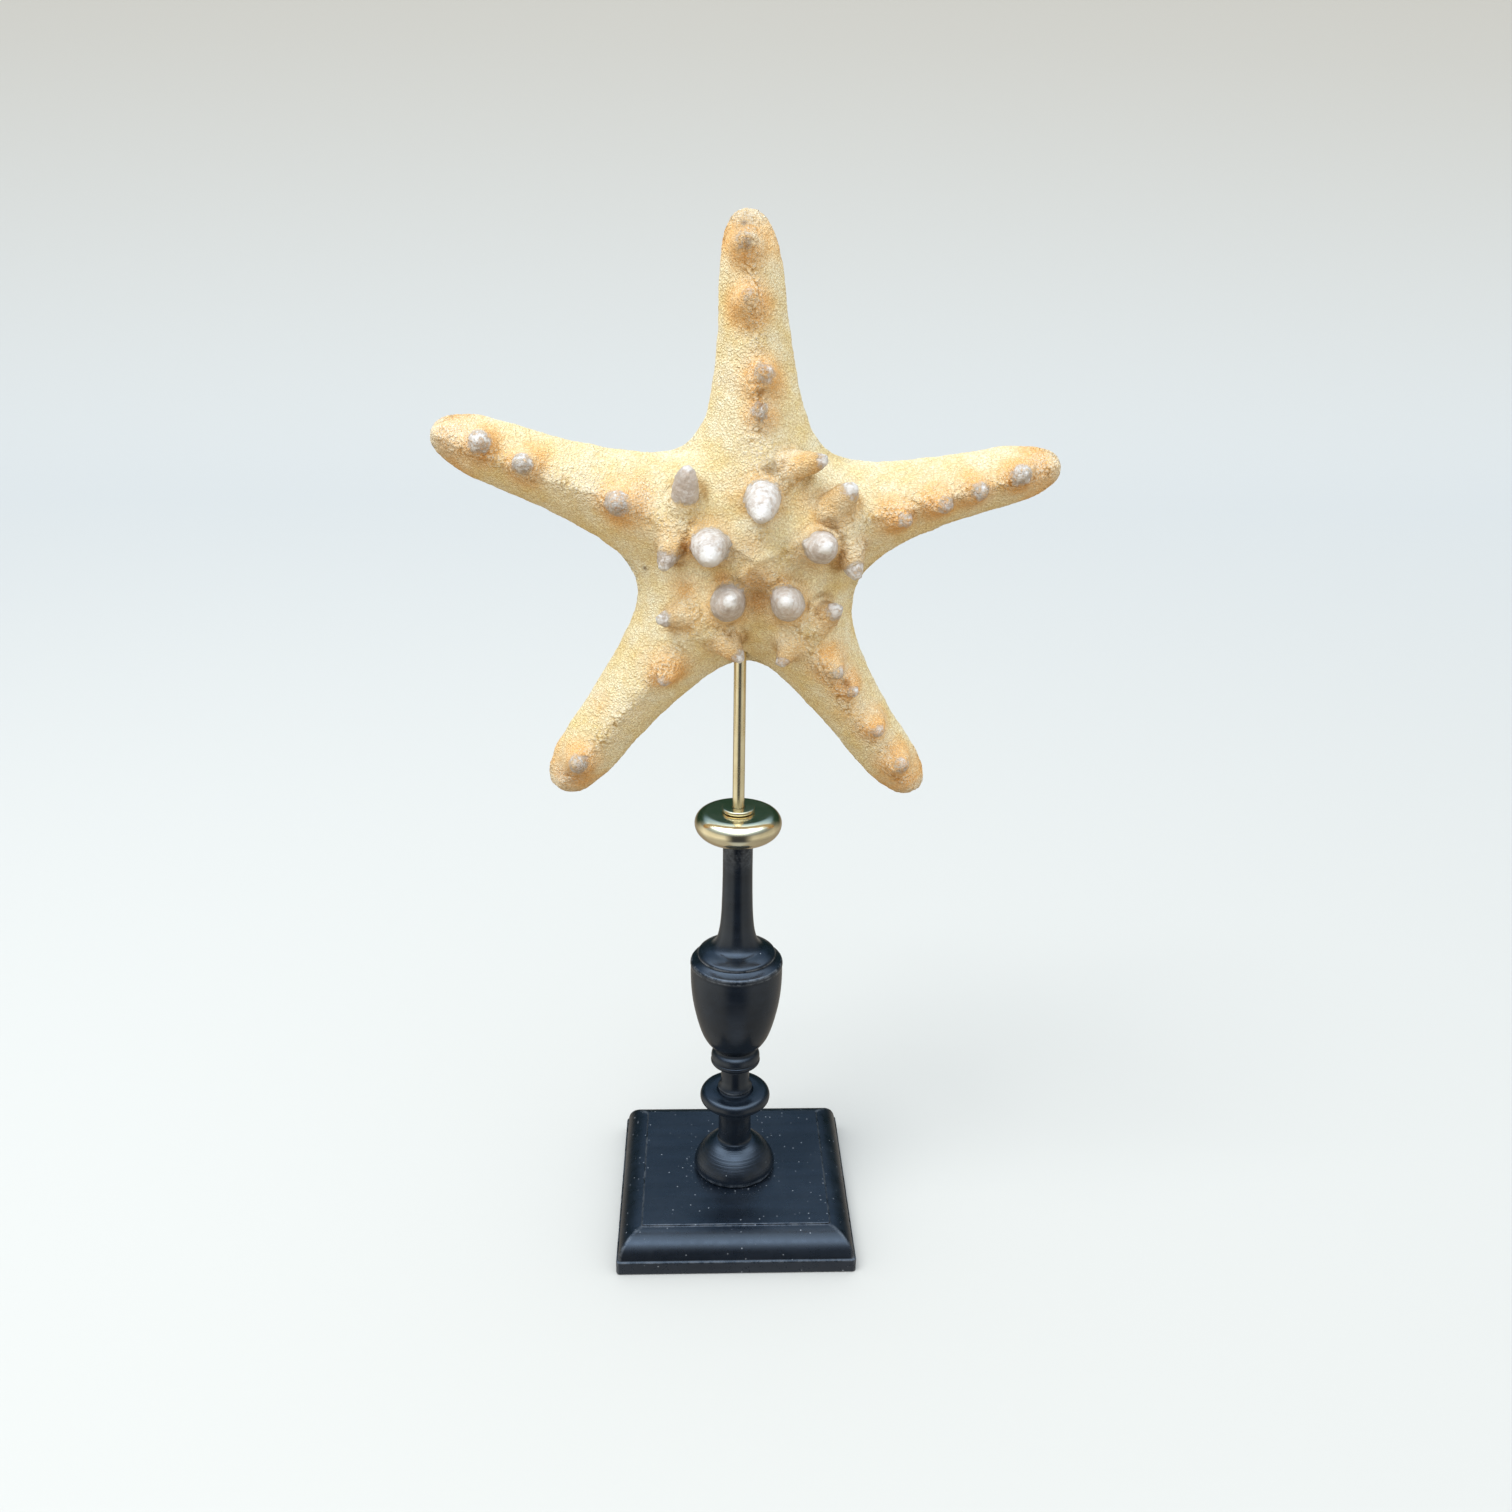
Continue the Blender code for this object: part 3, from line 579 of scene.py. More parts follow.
def back_hollow(points):
    """How deep the arm grooves and the mouth are pressed into the flat back, in mm."""
    right, up, out = points.T
    groove = np.zeros(len(points))
    for angle, length, bow, *_ in ARMS:
        along, _, across = arm_frame(points, angle, length, bow)
        fade = np.clip((length * GROOVE_END - along) / GROOVE_FADE, 0.0, 1.0) * (along > 0.0)
        groove = np.maximum(groove, fade * np.exp(-((across / GROOVE_HALF_WIDTH) ** 2)))
    mouth = np.exp(-(right**2 + up**2) / MOUTH_RADIUS**2)
    on_back = np.clip((BACK_BLEND - BACK_DEPTH - out) / BACK_BLEND, 0.0, 1.0)
    return on_back * np.maximum(GROOVE_DEPTH * groove, MOUTH_DEPTH * mouth)


def settle_on_skin(points, normals, drilled):
    """Moves the points onto the exact skin, then presses the grooves in again. Returns places and normals."""
    placed = points.copy()
    flat = (normals[:, 2] < 0.0) & (points[:, 2] < FLAT_BACK_LIMIT)
    placed[flat, 2] = -BACK_DEPTH
    loose = ~drilled
    for _ in range(SETTLE_PASSES):
        level, slope = field_slope(placed[loose])
        level = np.clip(level, -LONGEST_MOVE, LONGEST_MOVE)
        size = np.maximum((slope**2).sum(axis=1), FLATTEST_SLOPE)
        placed[loose] -= (level / size)[:, None] * slope
    _, slope = field_slope(placed[loose])
    facing = normals.copy()
    facing[loose] = slope / np.maximum(np.linalg.norm(slope, axis=1), 1e-6)[:, None]
    placed[loose, 2] += back_hollow(placed[loose])
    return placed, facing


def strongest_patch(points, patches):
    """The strongest of several round patches at each point: right, up, radius, strength."""
    strongest = np.zeros(len(points))
    for right, up, radius, strength in patches:
        gap = np.hypot(points[:, 0] - right, points[:, 1] - up)
        strongest = np.maximum(strongest, strength * np.exp(-((gap / radius) ** 2)))
    return strongest


def skin_masks(points):
    """Where the skin is pearly, white-tipped, stained, pale, coarse, or darkened by spots and painted shade, each
    from 0 to 1 for every point.
    """
    names = ("pearl", "cap", "share", "stain", "pale", "grain", "spots_and_shade")
    masks = {name: np.zeros(len(points)) for name in names}
    front = smoothstep(points[:, 2], *FRONT_RANGE)
    for foot, tip, radius, white, start in PRIMARY_SPINES + FLANK_SPINES + ARM_KNOBS:
        share, gap = along_line(points, foot, tip)
        level = np.minimum(spine_field(points, foot, tip, radius), bead_field(points, foot, tip, radius))
        inside = smoothstep(-level, *PEARL_EDGE)
        on_disc = foot[2] >= DISC_FOOT
        strength = ARM_PEARL * (0.2 + 0.8 * white)
        if on_disc:
            strength = 1.0 if foot[2] >= TALL_FOOT else HORN_PEARL
        pearly = strength * inside * smoothstep(share, start - 0.1, start + 0.2)
        if on_disc and foot[2] < TALL_FOOT:
            masks["spots_and_shade"] = np.maximum(masks["spots_and_shade"], HORN_SHADE * (inside * smoothstep(share, 0.15, 0.7)))
        stronger = pearly > masks["pearl"]
        cap = smoothstep(share, 0.92 - 0.30 * white, 1.04 - 0.14 * white) * min(1.0, white * 5.0)
        cap = np.maximum(cap, MOTTLING * (white if on_disc else 1.0)) * (1.0 if on_disc else KNOB_CAP)
        masks["pearl"] = np.where(stronger, pearly, masks["pearl"])
        masks["cap"] = np.where(stronger, cap, masks["cap"])
        masks["share"] = np.where(stronger, share, masks["share"])
        reach = RING_REACH_ON_DISC if on_disc else RING_REACH_ON_ARM
        ring_stain = RING_STAIN_ON_DISC if on_disc else RING_STAIN_ON_ARM
        if start < NO_PEARL:
            ring = np.exp(-((gap / (radius * reach)) ** 4)) * front
            masks["stain"] = np.maximum(masks["stain"], ring * ring_stain)
    for angle, length, bow, *_ in ARMS:
        along, _, across = arm_frame(points, angle, length, bow)
        end = smoothstep(along / length, *ARM_END_RANGE) * (np.abs(across) < ARM_REACH)
        point = smoothstep(along / length, *ARM_POINT_RANGE) * (np.abs(across) < ARM_REACH)
        masks["stain"] = np.maximum(masks["stain"], end * ARM_END_STAIN) * (1.0 - ARM_POINT_CLEAR * point)
        masks["pale"] = np.maximum(masks["pale"], point * ARM_POINT_PALE)
        crest = np.exp(-((across / CREST_WIDTH) ** 2)) * smoothstep(along, 20.0, 34.0) * front
        masks["grain"] = np.maximum(masks["grain"], crest)
    for ridge in disc_ridges():
        near = np.exp(-((np.maximum(ridge_field(points, *ridge), 0.0) / RIDGE_GRAIN_REACH) ** 2))
        masks["grain"] = np.maximum(masks["grain"], RIDGE_GRAIN * near)
    for name, patches in (("stain", STAIN_PATCHES), ("pale", PALE_PATCHES), ("spots_and_shade", DARK_SPOTS_AND_VALLEY_SHADE)):
        masks[name] = np.maximum(masks[name], strongest_patch(points, patches) * front)
    return masks


def sheltered(points):
    """How deep each point lies in a hollow of the skin, from 0 in the open to 1 between close spines. The skin
    material paints shade by it.
    """
    level, slope = field_slope(points)
    size = np.maximum(np.linalg.norm(slope, axis=1), 0.3)
    reached = starfish_field(points + slope / size[:, None] * SHELTER_REACH)
    openness = (reached - level) / (size * SHELTER_REACH)
    return 1.0 - smoothstep(openness, *SHELTER_RANGE)


def grain_height(points, masks):
    """Height of lumps and grains over the smooth skin, as a share of the coarse grain."""
    heights = np.empty(len(points))
    for i, (right, up, out) in enumerate(points.tolist()):
        place = Vector((right, up, out))
        coarse = noise.voronoi(place / COARSE_GRAIN)[0][0]
        fine = noise.voronoi(place / FINE_GRAIN)[0][0]
        lumps = noise.noise(place / LARGE_LUMP) * 0.7 + noise.noise(place / SMALL_LUMP) * 0.25
        bumps = (0.55 - coarse) * 2.0 * (0.08 + 0.92 * masks["grain"][i]) + (0.5 - fine) * 0.55
        knurl = noise.noise(place / KNURL) * 0.55 + 0.16 * math.sin(masks["share"][i] * KNURL_RINGS)
        pearl = masks["pearl"][i]
        heights[i] = lumps * (1.0 - 0.5 * pearl) + bumps * (1.0 - pearl) + knurl * pearl
    return heights


def hub_line_height(points):
    """A thin raised line where the hub's ridges meet."""
    height = np.zeros(len(points))
    for start, end in HUB_LINES:
        _, gap = along_line(points[:, :2], start, end)
        height = np.maximum(height, HUB_LINE_HEIGHT * np.exp(-((gap / HUB_LINE_WIDTH) ** 2)))
    return height * (points[:, 2] > HUB_FLOOR)


def press_valleys(points):
    """How far the hollows between the disc's ridges sink, in mm."""
    return strongest_patch(points, VALLEYS) * smoothstep(points[:, 2], *VALLEY_RANGE)


def arc(centre, radii, start, end, steps, power=2.0):
    """Points (radius, height) along an ellipse in degrees. A power under 2 flattens its shoulders."""
    points = []
    for angle in np.radians(np.linspace(start, end, steps)):
        c, s = math.cos(angle), math.sin(angle)
        across = math.copysign(abs(c) ** (2.0 / power), c)
        rise = math.copysign(abs(s) ** (2.0 / power), s)
        points.append((centre[0] + radii[0] * across, centre[1] + radii[1] * rise))
    return points


def curve_through(points, steps):
    """A smooth outline of steps points to each stretch, through given (radius, height) points."""
    made = []
    last = len(points) - 1
    for i in range(last):
        before, start = points[max(i - 1, 0)], points[i]
        end, after = points[i + 1], points[min(i + 2, last)]
        for step in range(steps):
            t = step / steps
            weights = (-t + 2 * t**2 - t**3, 2 - 5 * t**2 + 3 * t**3, t + 4 * t**2 - 3 * t**3, t**3 - t**2)
            quad = (before, start, end, after)
            made.append(tuple(sum(w * p[k] for w, p in zip(weights, quad)) / 2 for k in (0, 1)))
    return made + [points[-1]]


def mesh_of(name, bm):
    """Turns a bmesh into a mesh and frees it."""
    mesh = bpy.data.meshes.new(name)
    bm.to_mesh(mesh)
    bm.free()
    return mesh


def add_object(name, data):
    """A new object in the scene."""
    made = bpy.data.objects.new(name, data)
    bpy.context.scene.collection.objects.link(made)
    return made


def add_piece(name, bm, finish, *nodes):
    """Turns a bmesh into a finished piece that stands for CAD nodes."""
    mesh = mesh_of(name, bm)
    mesh.materials.append(finish)
    piece = add_object(name, mesh)
    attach(piece, "root")
    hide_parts(*nodes)
    return piece


def turned(profile, sides):
    """A closed outline of (radius, height) in mm, spun about the Z axis."""
    bm = bmesh.new()
    points = [bm.verts.new((radius * MM, 0.0, height * MM)) for radius, height in profile]
    edges = [bm.edges.new(pair) for pair in zip(points[:-1], points[1:])]
    if profile[0][0] > 0.0:
        edges.append(bm.edges.new((points[-1], points[0])))
    bmesh.ops.spin(
        bm,
        geom=points + edges,
        axis=(0.0, 0.0, 1.0),
        cent=(0.0, 0.0, 0.0),
        angle=math.tau,
        steps=sides,
        use_merge=True,
    )
    bmesh.ops.remove_doubles(bm, verts=bm.verts, dist=1e-6)
    bmesh.ops.recalc_face_normals(bm, faces=bm.faces)
    return bm


def smooth(piece, degrees):
    """Smooth shading with creases at turns sharper than this."""
    piece.data.shade_smooth()
    piece.data.set_sharp_from_angle(angle=math.radians(degrees))
    return piece


def set_inputs(tree, node, inputs):
    """Gives a node's inputs their values, or links them from other sockets."""
    for name, value in inputs.items():
        if isinstance(value, bpy.types.NodeSocket):
            tree.links.new(value, node.inputs[name])
        else:
            node.inputs[name].default_value = value


def add_node(tree, kind, inputs=None, **settings):
    """A shader node with its settings and inputs."""
    made = tree.nodes.new(kind)
    for name, value in settings.items():
        setattr(made, name, value)
    set_inputs(tree, made, inputs or {})
    return made


def calc(tree, operation, *values):
    """A Math node's result."""
    return add_node(tree, "ShaderNodeMath", dict(enumerate(values)), operation=operation).outputs[0]


def times(tree, first, second):
    return calc(tree, "MULTIPLY", first, second)


def plus(tree, first, second):
    return calc(tree, "ADD", first, second)


def mix(tree, factor, first, second, blend="MIX"):
    """A colour mixed from two."""
    inputs = {0: factor, 6: first, 7: second}
    return add_node(tree, "ShaderNodeMix", inputs, data_type="RGBA", blend_type=blend).outputs[2]


def spread(tree, value, low, high, to_low=0.0, to_high=1.0):
    """A value moved from one range to another, with its ends held."""
    inputs = {"Value": value, "From Min": low, "From Max": high, "To Min": to_low, "To Max": to_high}
    return add_node(tree, "ShaderNodeMapRange", inputs).outputs[0]


def near_value(tree, value, middle, full, gone, strength=1.0):
    """A mask round one value, full up to one distance from it and gone at another."""
    gap = calc(tree, "ABSOLUTE", calc(tree, "SUBTRACT", value, middle))
    return spread(tree, gap, full, gone, strength, 0.0)


def clouds_over(tree, place, scale, detail, roughness=0.5):
    """A Noise Texture's value."""
    inputs = {"Vector": place, "Scale": scale, "Detail": detail, "Roughness": roughness}
    return add_node(tree, "ShaderNodeTexNoise", inputs).outputs["Fac"]


def relief(tree, strength, distance, height):
    """The surface's normal, bent by a height."""
    inputs = {"Strength": strength, "Distance": distance, "Height": height}
    return add_node(tree, "ShaderNodeBump", inputs).outputs[0]


def scaled(tree, vector, scale):
    return add_node(tree, "ShaderNodeVectorMath", {0: vector, "Scale": scale}, operation="SCALE").outputs[0]


def parts_of(tree, vector):
    return add_node(tree, "ShaderNodeSeparateXYZ", {"Vector": vector}).outputs


def radius_of(tree, parts):
    """The distance from the Z axis."""
    level = add_node(tree, "ShaderNodeCombineXYZ", {"X": parts[0], "Y": parts[1]}).outputs[0]
    return add_node(tree, "ShaderNodeVectorMath", {0: level}, operation="LENGTH").outputs["Value"]


def place_of(tree):
    return add_node(tree, "ShaderNodeTexCoord").outputs["Object"]


def mask_of(tree, name):
    return add_node(tree, "ShaderNodeAttribute", attribute_name=name).outputs["Fac"]


def opaque(colour):
    return (*colour, 1.0)


def new_group(name, inputs, outputs):
    """A shader node group with named sockets. Returns the group, its input node and its output node."""
    group = bpy.data.node_groups.new(name, "ShaderNodeTree")
    for label, default in inputs.items():
        socket = group.interface.new_socket(name=label, in_out="INPUT", socket_type="NodeSocketFloat")
        socket.default_value = default
    for label in outputs:
        group.interface.new_socket(name=label, in_out="OUTPUT", socket_type="NodeSocketFloat")
    return group, group.nodes.new("NodeGroupInput"), group.nodes.new("NodeGroupOutput")


def dust_group():
    """White specks scattered over a surface, and a thin uneven film."""
    group, given, made = new_group("dust", {"Scale": 300.0, "Amount": 0.1}, ["Specks", "Film"])
    place = place_of(group)
    cells = {"Vector": place, "Scale": given.outputs["Scale"], "Randomness": 1.0}
    dots = add_node(group, "ShaderNodeTexVoronoi", cells)
    near = spread(group, dots.outputs["Distance"], 0.05, 0.20, 1.0, 0.0)
    pick = add_node(group, "ShaderNodeSeparateColor", {"Color": dots.outputs["Color"]}).outputs[0]
    chosen = calc(group, "LESS_THAN", pick, given.outputs["Amount"])
    film = spread(group, clouds_over(group, place, 45.0, 6.0, 0.65), 0.42, 0.75)
    set_inputs(group, made, {"Specks": times(group, near, chosen), "Film": film})
    return group


def lathe_group():
    """Fine rings that a lathe leaves round the Z axis."""
    group, given, made = new_group("lathe_rings", {"Rings": 1500.0}, ["Height"])
    parts = parts_of(group, place_of(group))
    flat = add_node(group, "ShaderNodeCombineXYZ", {"X": radius_of(group, parts), "Z": parts[2]}).outputs[0]
    set_inputs(group, made, {"Height": clouds_over(group, flat, given.outputs["Rings"], 3.0, 0.6)})
    return group


def grain_group():
    """The starfish's fine skin: small round grains, with painted shade darkening the gaps between them."""
    group, given, made = new_group("skin_grain", {"Coarse": 0.0}, ["Height", "GapShade", "Speckle", "Crumbs"])
    place = place_of(group)
    warp = add_node(group, "ShaderNodeTexNoise", {"Vector": place, "Scale": 600.0, "Detail": 2.0})
    nudge = scaled(group, warp.outputs["Color"], 0.0011)
    bent = add_node(group, "ShaderNodeVectorMath", {0: place, 1: nudge}, operation="ADD").outputs[0]
    cells = []
    for scale, smoothness in ((1300.0, 0.4), (700.0, 0.5)):
        inputs = {"Vector": bent, "Scale": scale, "Smoothness": smoothness}
        cells.append(add_node(group, "ShaderNodeTexVoronoi", inputs, feature="SMOOTH_F1").outputs["Distance"])
    fine, large = cells
    speckle = clouds_over(group, place, 1900.0, 4.0, 0.7)
    patchy = clouds_over(group, place, 170.0, 4.0)
    coarse = plus(group, times(group, given.outputs["Coarse"], 0.95), 0.22)
    rough = times(group, coarse, spread(group, patchy, 0.35, 0.65, 0.5, 1.3))
    big = times(group, calc(group, "SUBTRACT", 1.0, large), rough)
    small = times(group, calc(group, "SUBTRACT", 1.0, fine), 0.75)
    deep = times(group, spread(group, large, 0.34, 0.70), rough)
    thin = times(group, spread(group, fine, 0.22, 0.58), 0.62)
    set_inputs(group, made, {
        "Height": plus(group, plus(group, big, small), times(group, speckle, 0.5)),
        "GapShade": calc(group, "MAXIMUM", deep, thin),
        "Speckle": speckle,
        "Crumbs": spread(group, large, 0.15, 0.42, 1.0, 0.0),
    })
    return group


def new_material(name):
    made = bpy.data.materials.new(name)
    made.use_nodes = True
    tree = made.node_tree
    return made, tree, tree.nodes["Principled BSDF"]


def tip_colour(tree, settings, clouds, ragged):
    """The spine tips: cloudy grey-mauve with faint rings, under a ragged white cap."""
    cloudy = tuple(c * f for c, f in zip(settings.mauve, (1.35, 1.38, 1.42)))
    tip = mix(tree, spread(tree, clouds, 0.38, 0.62), opaque(settings.mauve), opaque(cloudy))
    rings = calc(tree, "SINE", times(tree, mask_of(tree, "share"), 46.0))
    tip = mix(tree, spread(tree, rings, -1.0, 1.0, 0.0, 0.25), tip, TIP_RING_TINT, blend="MULTIPLY")
    cap = spread(tree, plus(tree, mask_of(tree, "cap"), ragged), 0.12, 0.85, 0.0, 0.9)
    return mix(tree, cap, tip, opaque(settings.pearl))


def skin_material(settings, grain):
    """Dry cream skin with orange-brown stains and pearly spine tips, with painted shade in the gaps between
    grains, in the disc's hollows and in the skin's hollows.
    """
    made, tree, shader = new_material("dried_skin")
    place = place_of(tree)
    coarse = mask_of(tree, "grain")
    fine = add_node(tree, "ShaderNodeGroup", {"Coarse": coarse}, node_tree=grain).outputs
    speckle = fine["Speckle"]
    clouds = clouds_over(tree, place, 95.0, 5.0, 0.6)
    paler = tuple(min(1.0, c * f) for c, f in zip(settings.cream, (1.04, 1.09, 1.30)))
    deeper = tuple(c * f for c, f in zip(settings.cream, (0.98, 0.90, 0.74)))
    skin = mix(tree, spread(tree, clouds, 0.34, 0.66), opaque(paler), opaque(deeper))
    stain = times(tree, mask_of(tree, "stain"), spread(tree, clouds, 0.3, 0.62, 0.45, 1.3))
    stain = times(tree, stain, spread(tree, speckle, 0.38, 0.60, 1.15, 0.65))
    skin = mix(tree, calc(tree, "MINIMUM", stain, 1.0), skin, opaque(settings.stain))
    pale = times(tree, mask_of(tree, "pale"), spread(tree, speckle, 0.42, 0.56))
    skin = mix(tree, pale, skin, opaque(settings.chalk))
    ridged = plus(tree, times(tree, coarse, 0.8), 0.2)
    crumbs = times(tree, ridged, spread(tree, speckle, 0.50, 0.60))
    skin = mix(tree, times(tree, crumbs, 0.7), skin, opaque(settings.chalk))
    lumps = times(tree, times(tree, coarse, fine["Crumbs"]), spread(tree, clouds, 0.40, 0.60, 0.2, 0.75))
    skin = mix(tree, lumps, skin, opaque(settings.chalk))
    # Painted shade in the gaps between the grains
    gap_shade = times(tree, fine["GapShade"], plus(tree, times(tree, coarse, -0.12), 0.7))
    skin = mix(tree, calc(tree, "MINIMUM", gap_shade, 1.0), skin, GRAIN_GAP_SHADE, blend="MULTIPLY")
    # Dark spots, darker horns, and painted shade in the disc's hollows
    skin = mix(tree, mask_of(tree, "spots_and_shade"), skin, SPOT_AND_SHADE_COLOUR)
    # Painted shade: the skin darkens with how deep it lies in a hollow
    skin = mix(tree, times(tree, mask_of(tree, "hollow"), 0.85), skin, PAINTED_HOLLOW_SHADE, blend="MULTIPLY")
    ragged = spread(tree, clouds_over(tree, place, 520.0, 5.0, 0.7), 0.36, 0.64, -0.45, 0.45)
    tip = tip_colour(tree, settings, clouds, ragged)
    pearl = spread(tree, plus(tree, mask_of(tree, "pearl"), times(tree, ragged, 0.6)), 0.22, 0.78)
    height = times(tree, fine["Height"], spread(tree, pearl, 0.0, 1.0, 1.0, 0.25))
    set_inputs(tree, shader, {
        "Base Color": mix(tree, pearl, skin, tip),
        "Roughness": spread(tree, pearl, 0.0, 1.0, 0.86, 0.48),
        "Specular IOR Level": 0.3,
        "Normal": relief(tree, 1.0, 0.0010, height),
    })
    return made


def moulding_edges(tree, parts):
    """Masks for the square base: one along its mitres, panel edge and ledge, and one over the upright band."""
    panel = BASE_HALF - PANEL_INSET
    across, along = calc(tree, "ABSOLUTE", parts[0]), calc(tree, "ABSOLUTE", parts[1])
    reach = calc(tree, "MAXIMUM", across, along)
    off_mitre = calc(tree, "SUBTRACT", reach, calc(tree, "MINIMUM", across, along))
    mitre = spread(tree, off_mitre, *MITRE_WEAR, 0.8, 0.0)
    mitre = times(tree, mitre, spread(tree, reach, panel - 0.0004, panel + 0.0004))
    rim = near_value(tree, reach, panel, *EDGE_WEAR, 0.8)
    lip = near_value(tree, parts[2], BASE_BAND, *EDGE_WEAR, 0.7)
    lip = times(tree, lip, spread(tree, reach, BASE_HALF - 0.0015, BASE_HALF - 0.0005))
    face = spread(tree, parts[2], BASE_BAND - 0.0007, BASE_BAND - 0.0003, 0.22, 0.0)
    return calc(tree, "MAXIMUM", calc(tree, "MAXIMUM", mitre, rim), lip), face


def wood_material(name, settings, dust, specks, gloss, lathe=None):
    """Black-stained wood with worn edges and dust. The column's also has the lathe's fine rings."""
    made, tree, shader = new_material(name)
    place = place_of(tree)
    parts = parts_of(tree, place)
    powder = add_node(tree, "ShaderNodeGroup", {"Scale": 520.0, "Amount": specks}, node_tree=dust).outputs
    stretched = add_node(tree, "ShaderNodeMapping", {"Vector": place, "Scale": (14.0, 190.0, 190.0)}).outputs[0]
    figure = clouds_over(tree, stretched, 1.0, 5.0, 0.6)
    lighter = tuple(c * 1.8 for c in settings.wood)
    colour = mix(tree, spread(tree, figure, 0.4, 0.7), opaque(settings.wood), opaque(lighter))
    scuffs = clouds_over(tree, place, 260.0, 6.0, 0.7)
    edges, face = (mask_of(tree, "edge"), None) if lathe else moulding_edges(tree, parts)
    colour = mix(tree, times(tree, edges, spread(tree, scuffs, 0.42, 0.60)), colour, opaque(settings.worn))
    if face:
        colour = mix(tree, face, colour, opaque(settings.worn))
    colour = mix(tree, times(tree, powder["Film"], 0.02), colour, FILM_COLOUR)
    marks = powder["Specks"]
    height = times(tree, figure, 0.5)
    if lathe:
        rings = add_node(tree, "ShaderNodeGroup", node_tree=lathe).outputs["Height"]
        cut = times(tree, rings, spread(tree, parts[2], *BELL_TOP, 1.4, 0.2))
        height = plus(tree, times(tree, height, 0.15), cut)
    else:
        near_foot = near_value(tree, radius_of(tree, parts), CRUMB_RADIUS, 0.0, CRUMB_REACH)
        crumbs = add_node(tree, "ShaderNodeGroup", {"Scale": 800.0, "Amount": 0.75}, node_tree=dust).outputs
        marks = calc(tree, "MAXIMUM", marks, times(tree, crumbs["Specks"], near_foot))
    set_inputs(tree, shader, {
        "Base Color": mix(tree, times(tree, marks, 0.55), colour, SPECK_COLOUR),
        "Roughness": spread(tree, scuffs, 0.3, 0.7, gloss - 0.05, gloss + 0.09),
        "Specular IOR Level": 0.48,
        "Normal": relief(tree, 0.6 if lathe else 0.3, 0.00015, height),
    })
    return made


def brass_material(name, settings, lathe, gloss):
    """Polished brass with faint rings and a little tarnish."""
    made, tree, shader = new_material(name)
    clouds = clouds_over(tree, place_of(tree), 130.0, 5.0, 0.6)
    darker = tuple(c * f for c, f in zip(settings.brass, (0.80, 0.74, 0.62)))
    tarnish = spread(tree, clouds, 0.45, 0.75, 0.0, 0.5)
    rings = add_node(tree, "ShaderNodeGroup", {"Rings": 2600.0}, node_tree=lathe).outputs["Height"]
    set_inputs(tree, shader, {
        "Base Color": mix(tree, tarnish, opaque(settings.brass), opaque(darker)),
        "Roughness": spread(tree, clouds, 0.3, 0.75, gloss, gloss + 0.10),
        "Metallic": 1.0,
        "Normal": relief(tree, 0.10, 0.00005, rings),
    })
    return made


def mark_edges(piece, degrees):
    """Stores an attribute that is 1 where the surface turns outwards more sharply than this, and 0 elsewhere."""
    mesh = piece.data
    bm = bmesh.new()
    bm.from_mesh(mesh)
    limit = math.radians(degrees)
    worn = np.zeros(len(bm.verts))
    for edge in bm.edges:
        if len(edge.link_faces) == 2 and edge.calc_face_angle_signed(0.0) > limit:
            for vert in edge.verts:
                worn[vert.index] = 1.0
    bm.free()
    mesh.attributes.new("edge", "FLOAT", "POINT").data.foreach_set("value", worn)


def span_of(box):
    """A round part's foot, top and radius in millimetres, from its box."""
    low, high = box
    return low[2] / MM, high[2] / MM, high[0] / MM


class STARFISH_OT_skin(bpy.types.Operator):
    """Build the starfish's fine skin over its solid"""

    bl_idname = "starfish.skin"
    bl_label = "Starfish skin"

    def execute(self, context):
        settings = context.scene.starfish_settings
        bm = bmesh.new()
        bm.from_mesh(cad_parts["starfish"].data)
        bmesh.ops.remove_doubles(bm, verts=bm.verts, dist=1e-6)
        holder = add_object("starfish_rough", mesh_of("starfish_rough", bm))
        remesh = holder.modifiers.new("fine_grid", "REMESH")
        remesh.mode = "VOXEL"
        remesh.voxel_size = settings.cell
        context.view_layer.update()
        fine = bpy.data.meshes.new_from_object(holder.evaluated_get(context.evaluated_depsgraph_get()))
        bpy.data.objects.remove(holder)
        fine.name = "starfish_skin"
        self.shape(fine, settings)
        piece = add_object("starfish_skin", fine)
        fine.materials.clear()
        fine.materials.append(skin_material(settings, grain_group()))
        fine.shade_smooth()
        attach(piece, "root")
        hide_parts("starfish")
        return {"FINISHED"}

    def shape(self, mesh, settings):
        """Settles the grid on the exact skin, raises its grains and stores its masks."""
        count = len(mesh.vertices)
        world = np.empty(count * 3)
        turned_to = np.empty(count * 3)
        mesh.vertices.foreach_get("co", world)
        mesh.vertices.foreach_get("normal", turned_to)
        x, y, z = world.reshape(-1, 3).T / MM
        nx, ny, nz = turned_to.reshape(-1, 3).T
        points = np.stack([x - STAR_X, z - STAR_HEIGHT, -y], axis=1)
        normals = np.stack([nx, nz, -ny], axis=1)
        drilled = (np.hypot(x, y) < ROD_CLEAR) & (z < STAR_HEIGHT)
        points, normals = settle_on_skin(points, normals, drilled)
        masks = skin_masks(points)
        # Hollow depth, used by the skin material for painted shade in the hollows
        masks["hollow"] = sheltered(points)
        height = grain_height(points, masks) * settings.grain / MM + hub_line_height(points)
        height[drilled] = 0.0
        points += normals * height[:, None]
        points[:, 2] -= press_valleys(points)
        placed = np.stack([points[:, 0] + STAR_X, -points[:, 2], points[:, 1] + STAR_HEIGHT], axis=1) * MM
        mesh.vertices.foreach_set("co", placed.ravel())
        for name, values in masks.items():
            mesh.attributes.new(name, "FLOAT", "POINT").data.foreach_set("value", values)
        mesh.update()


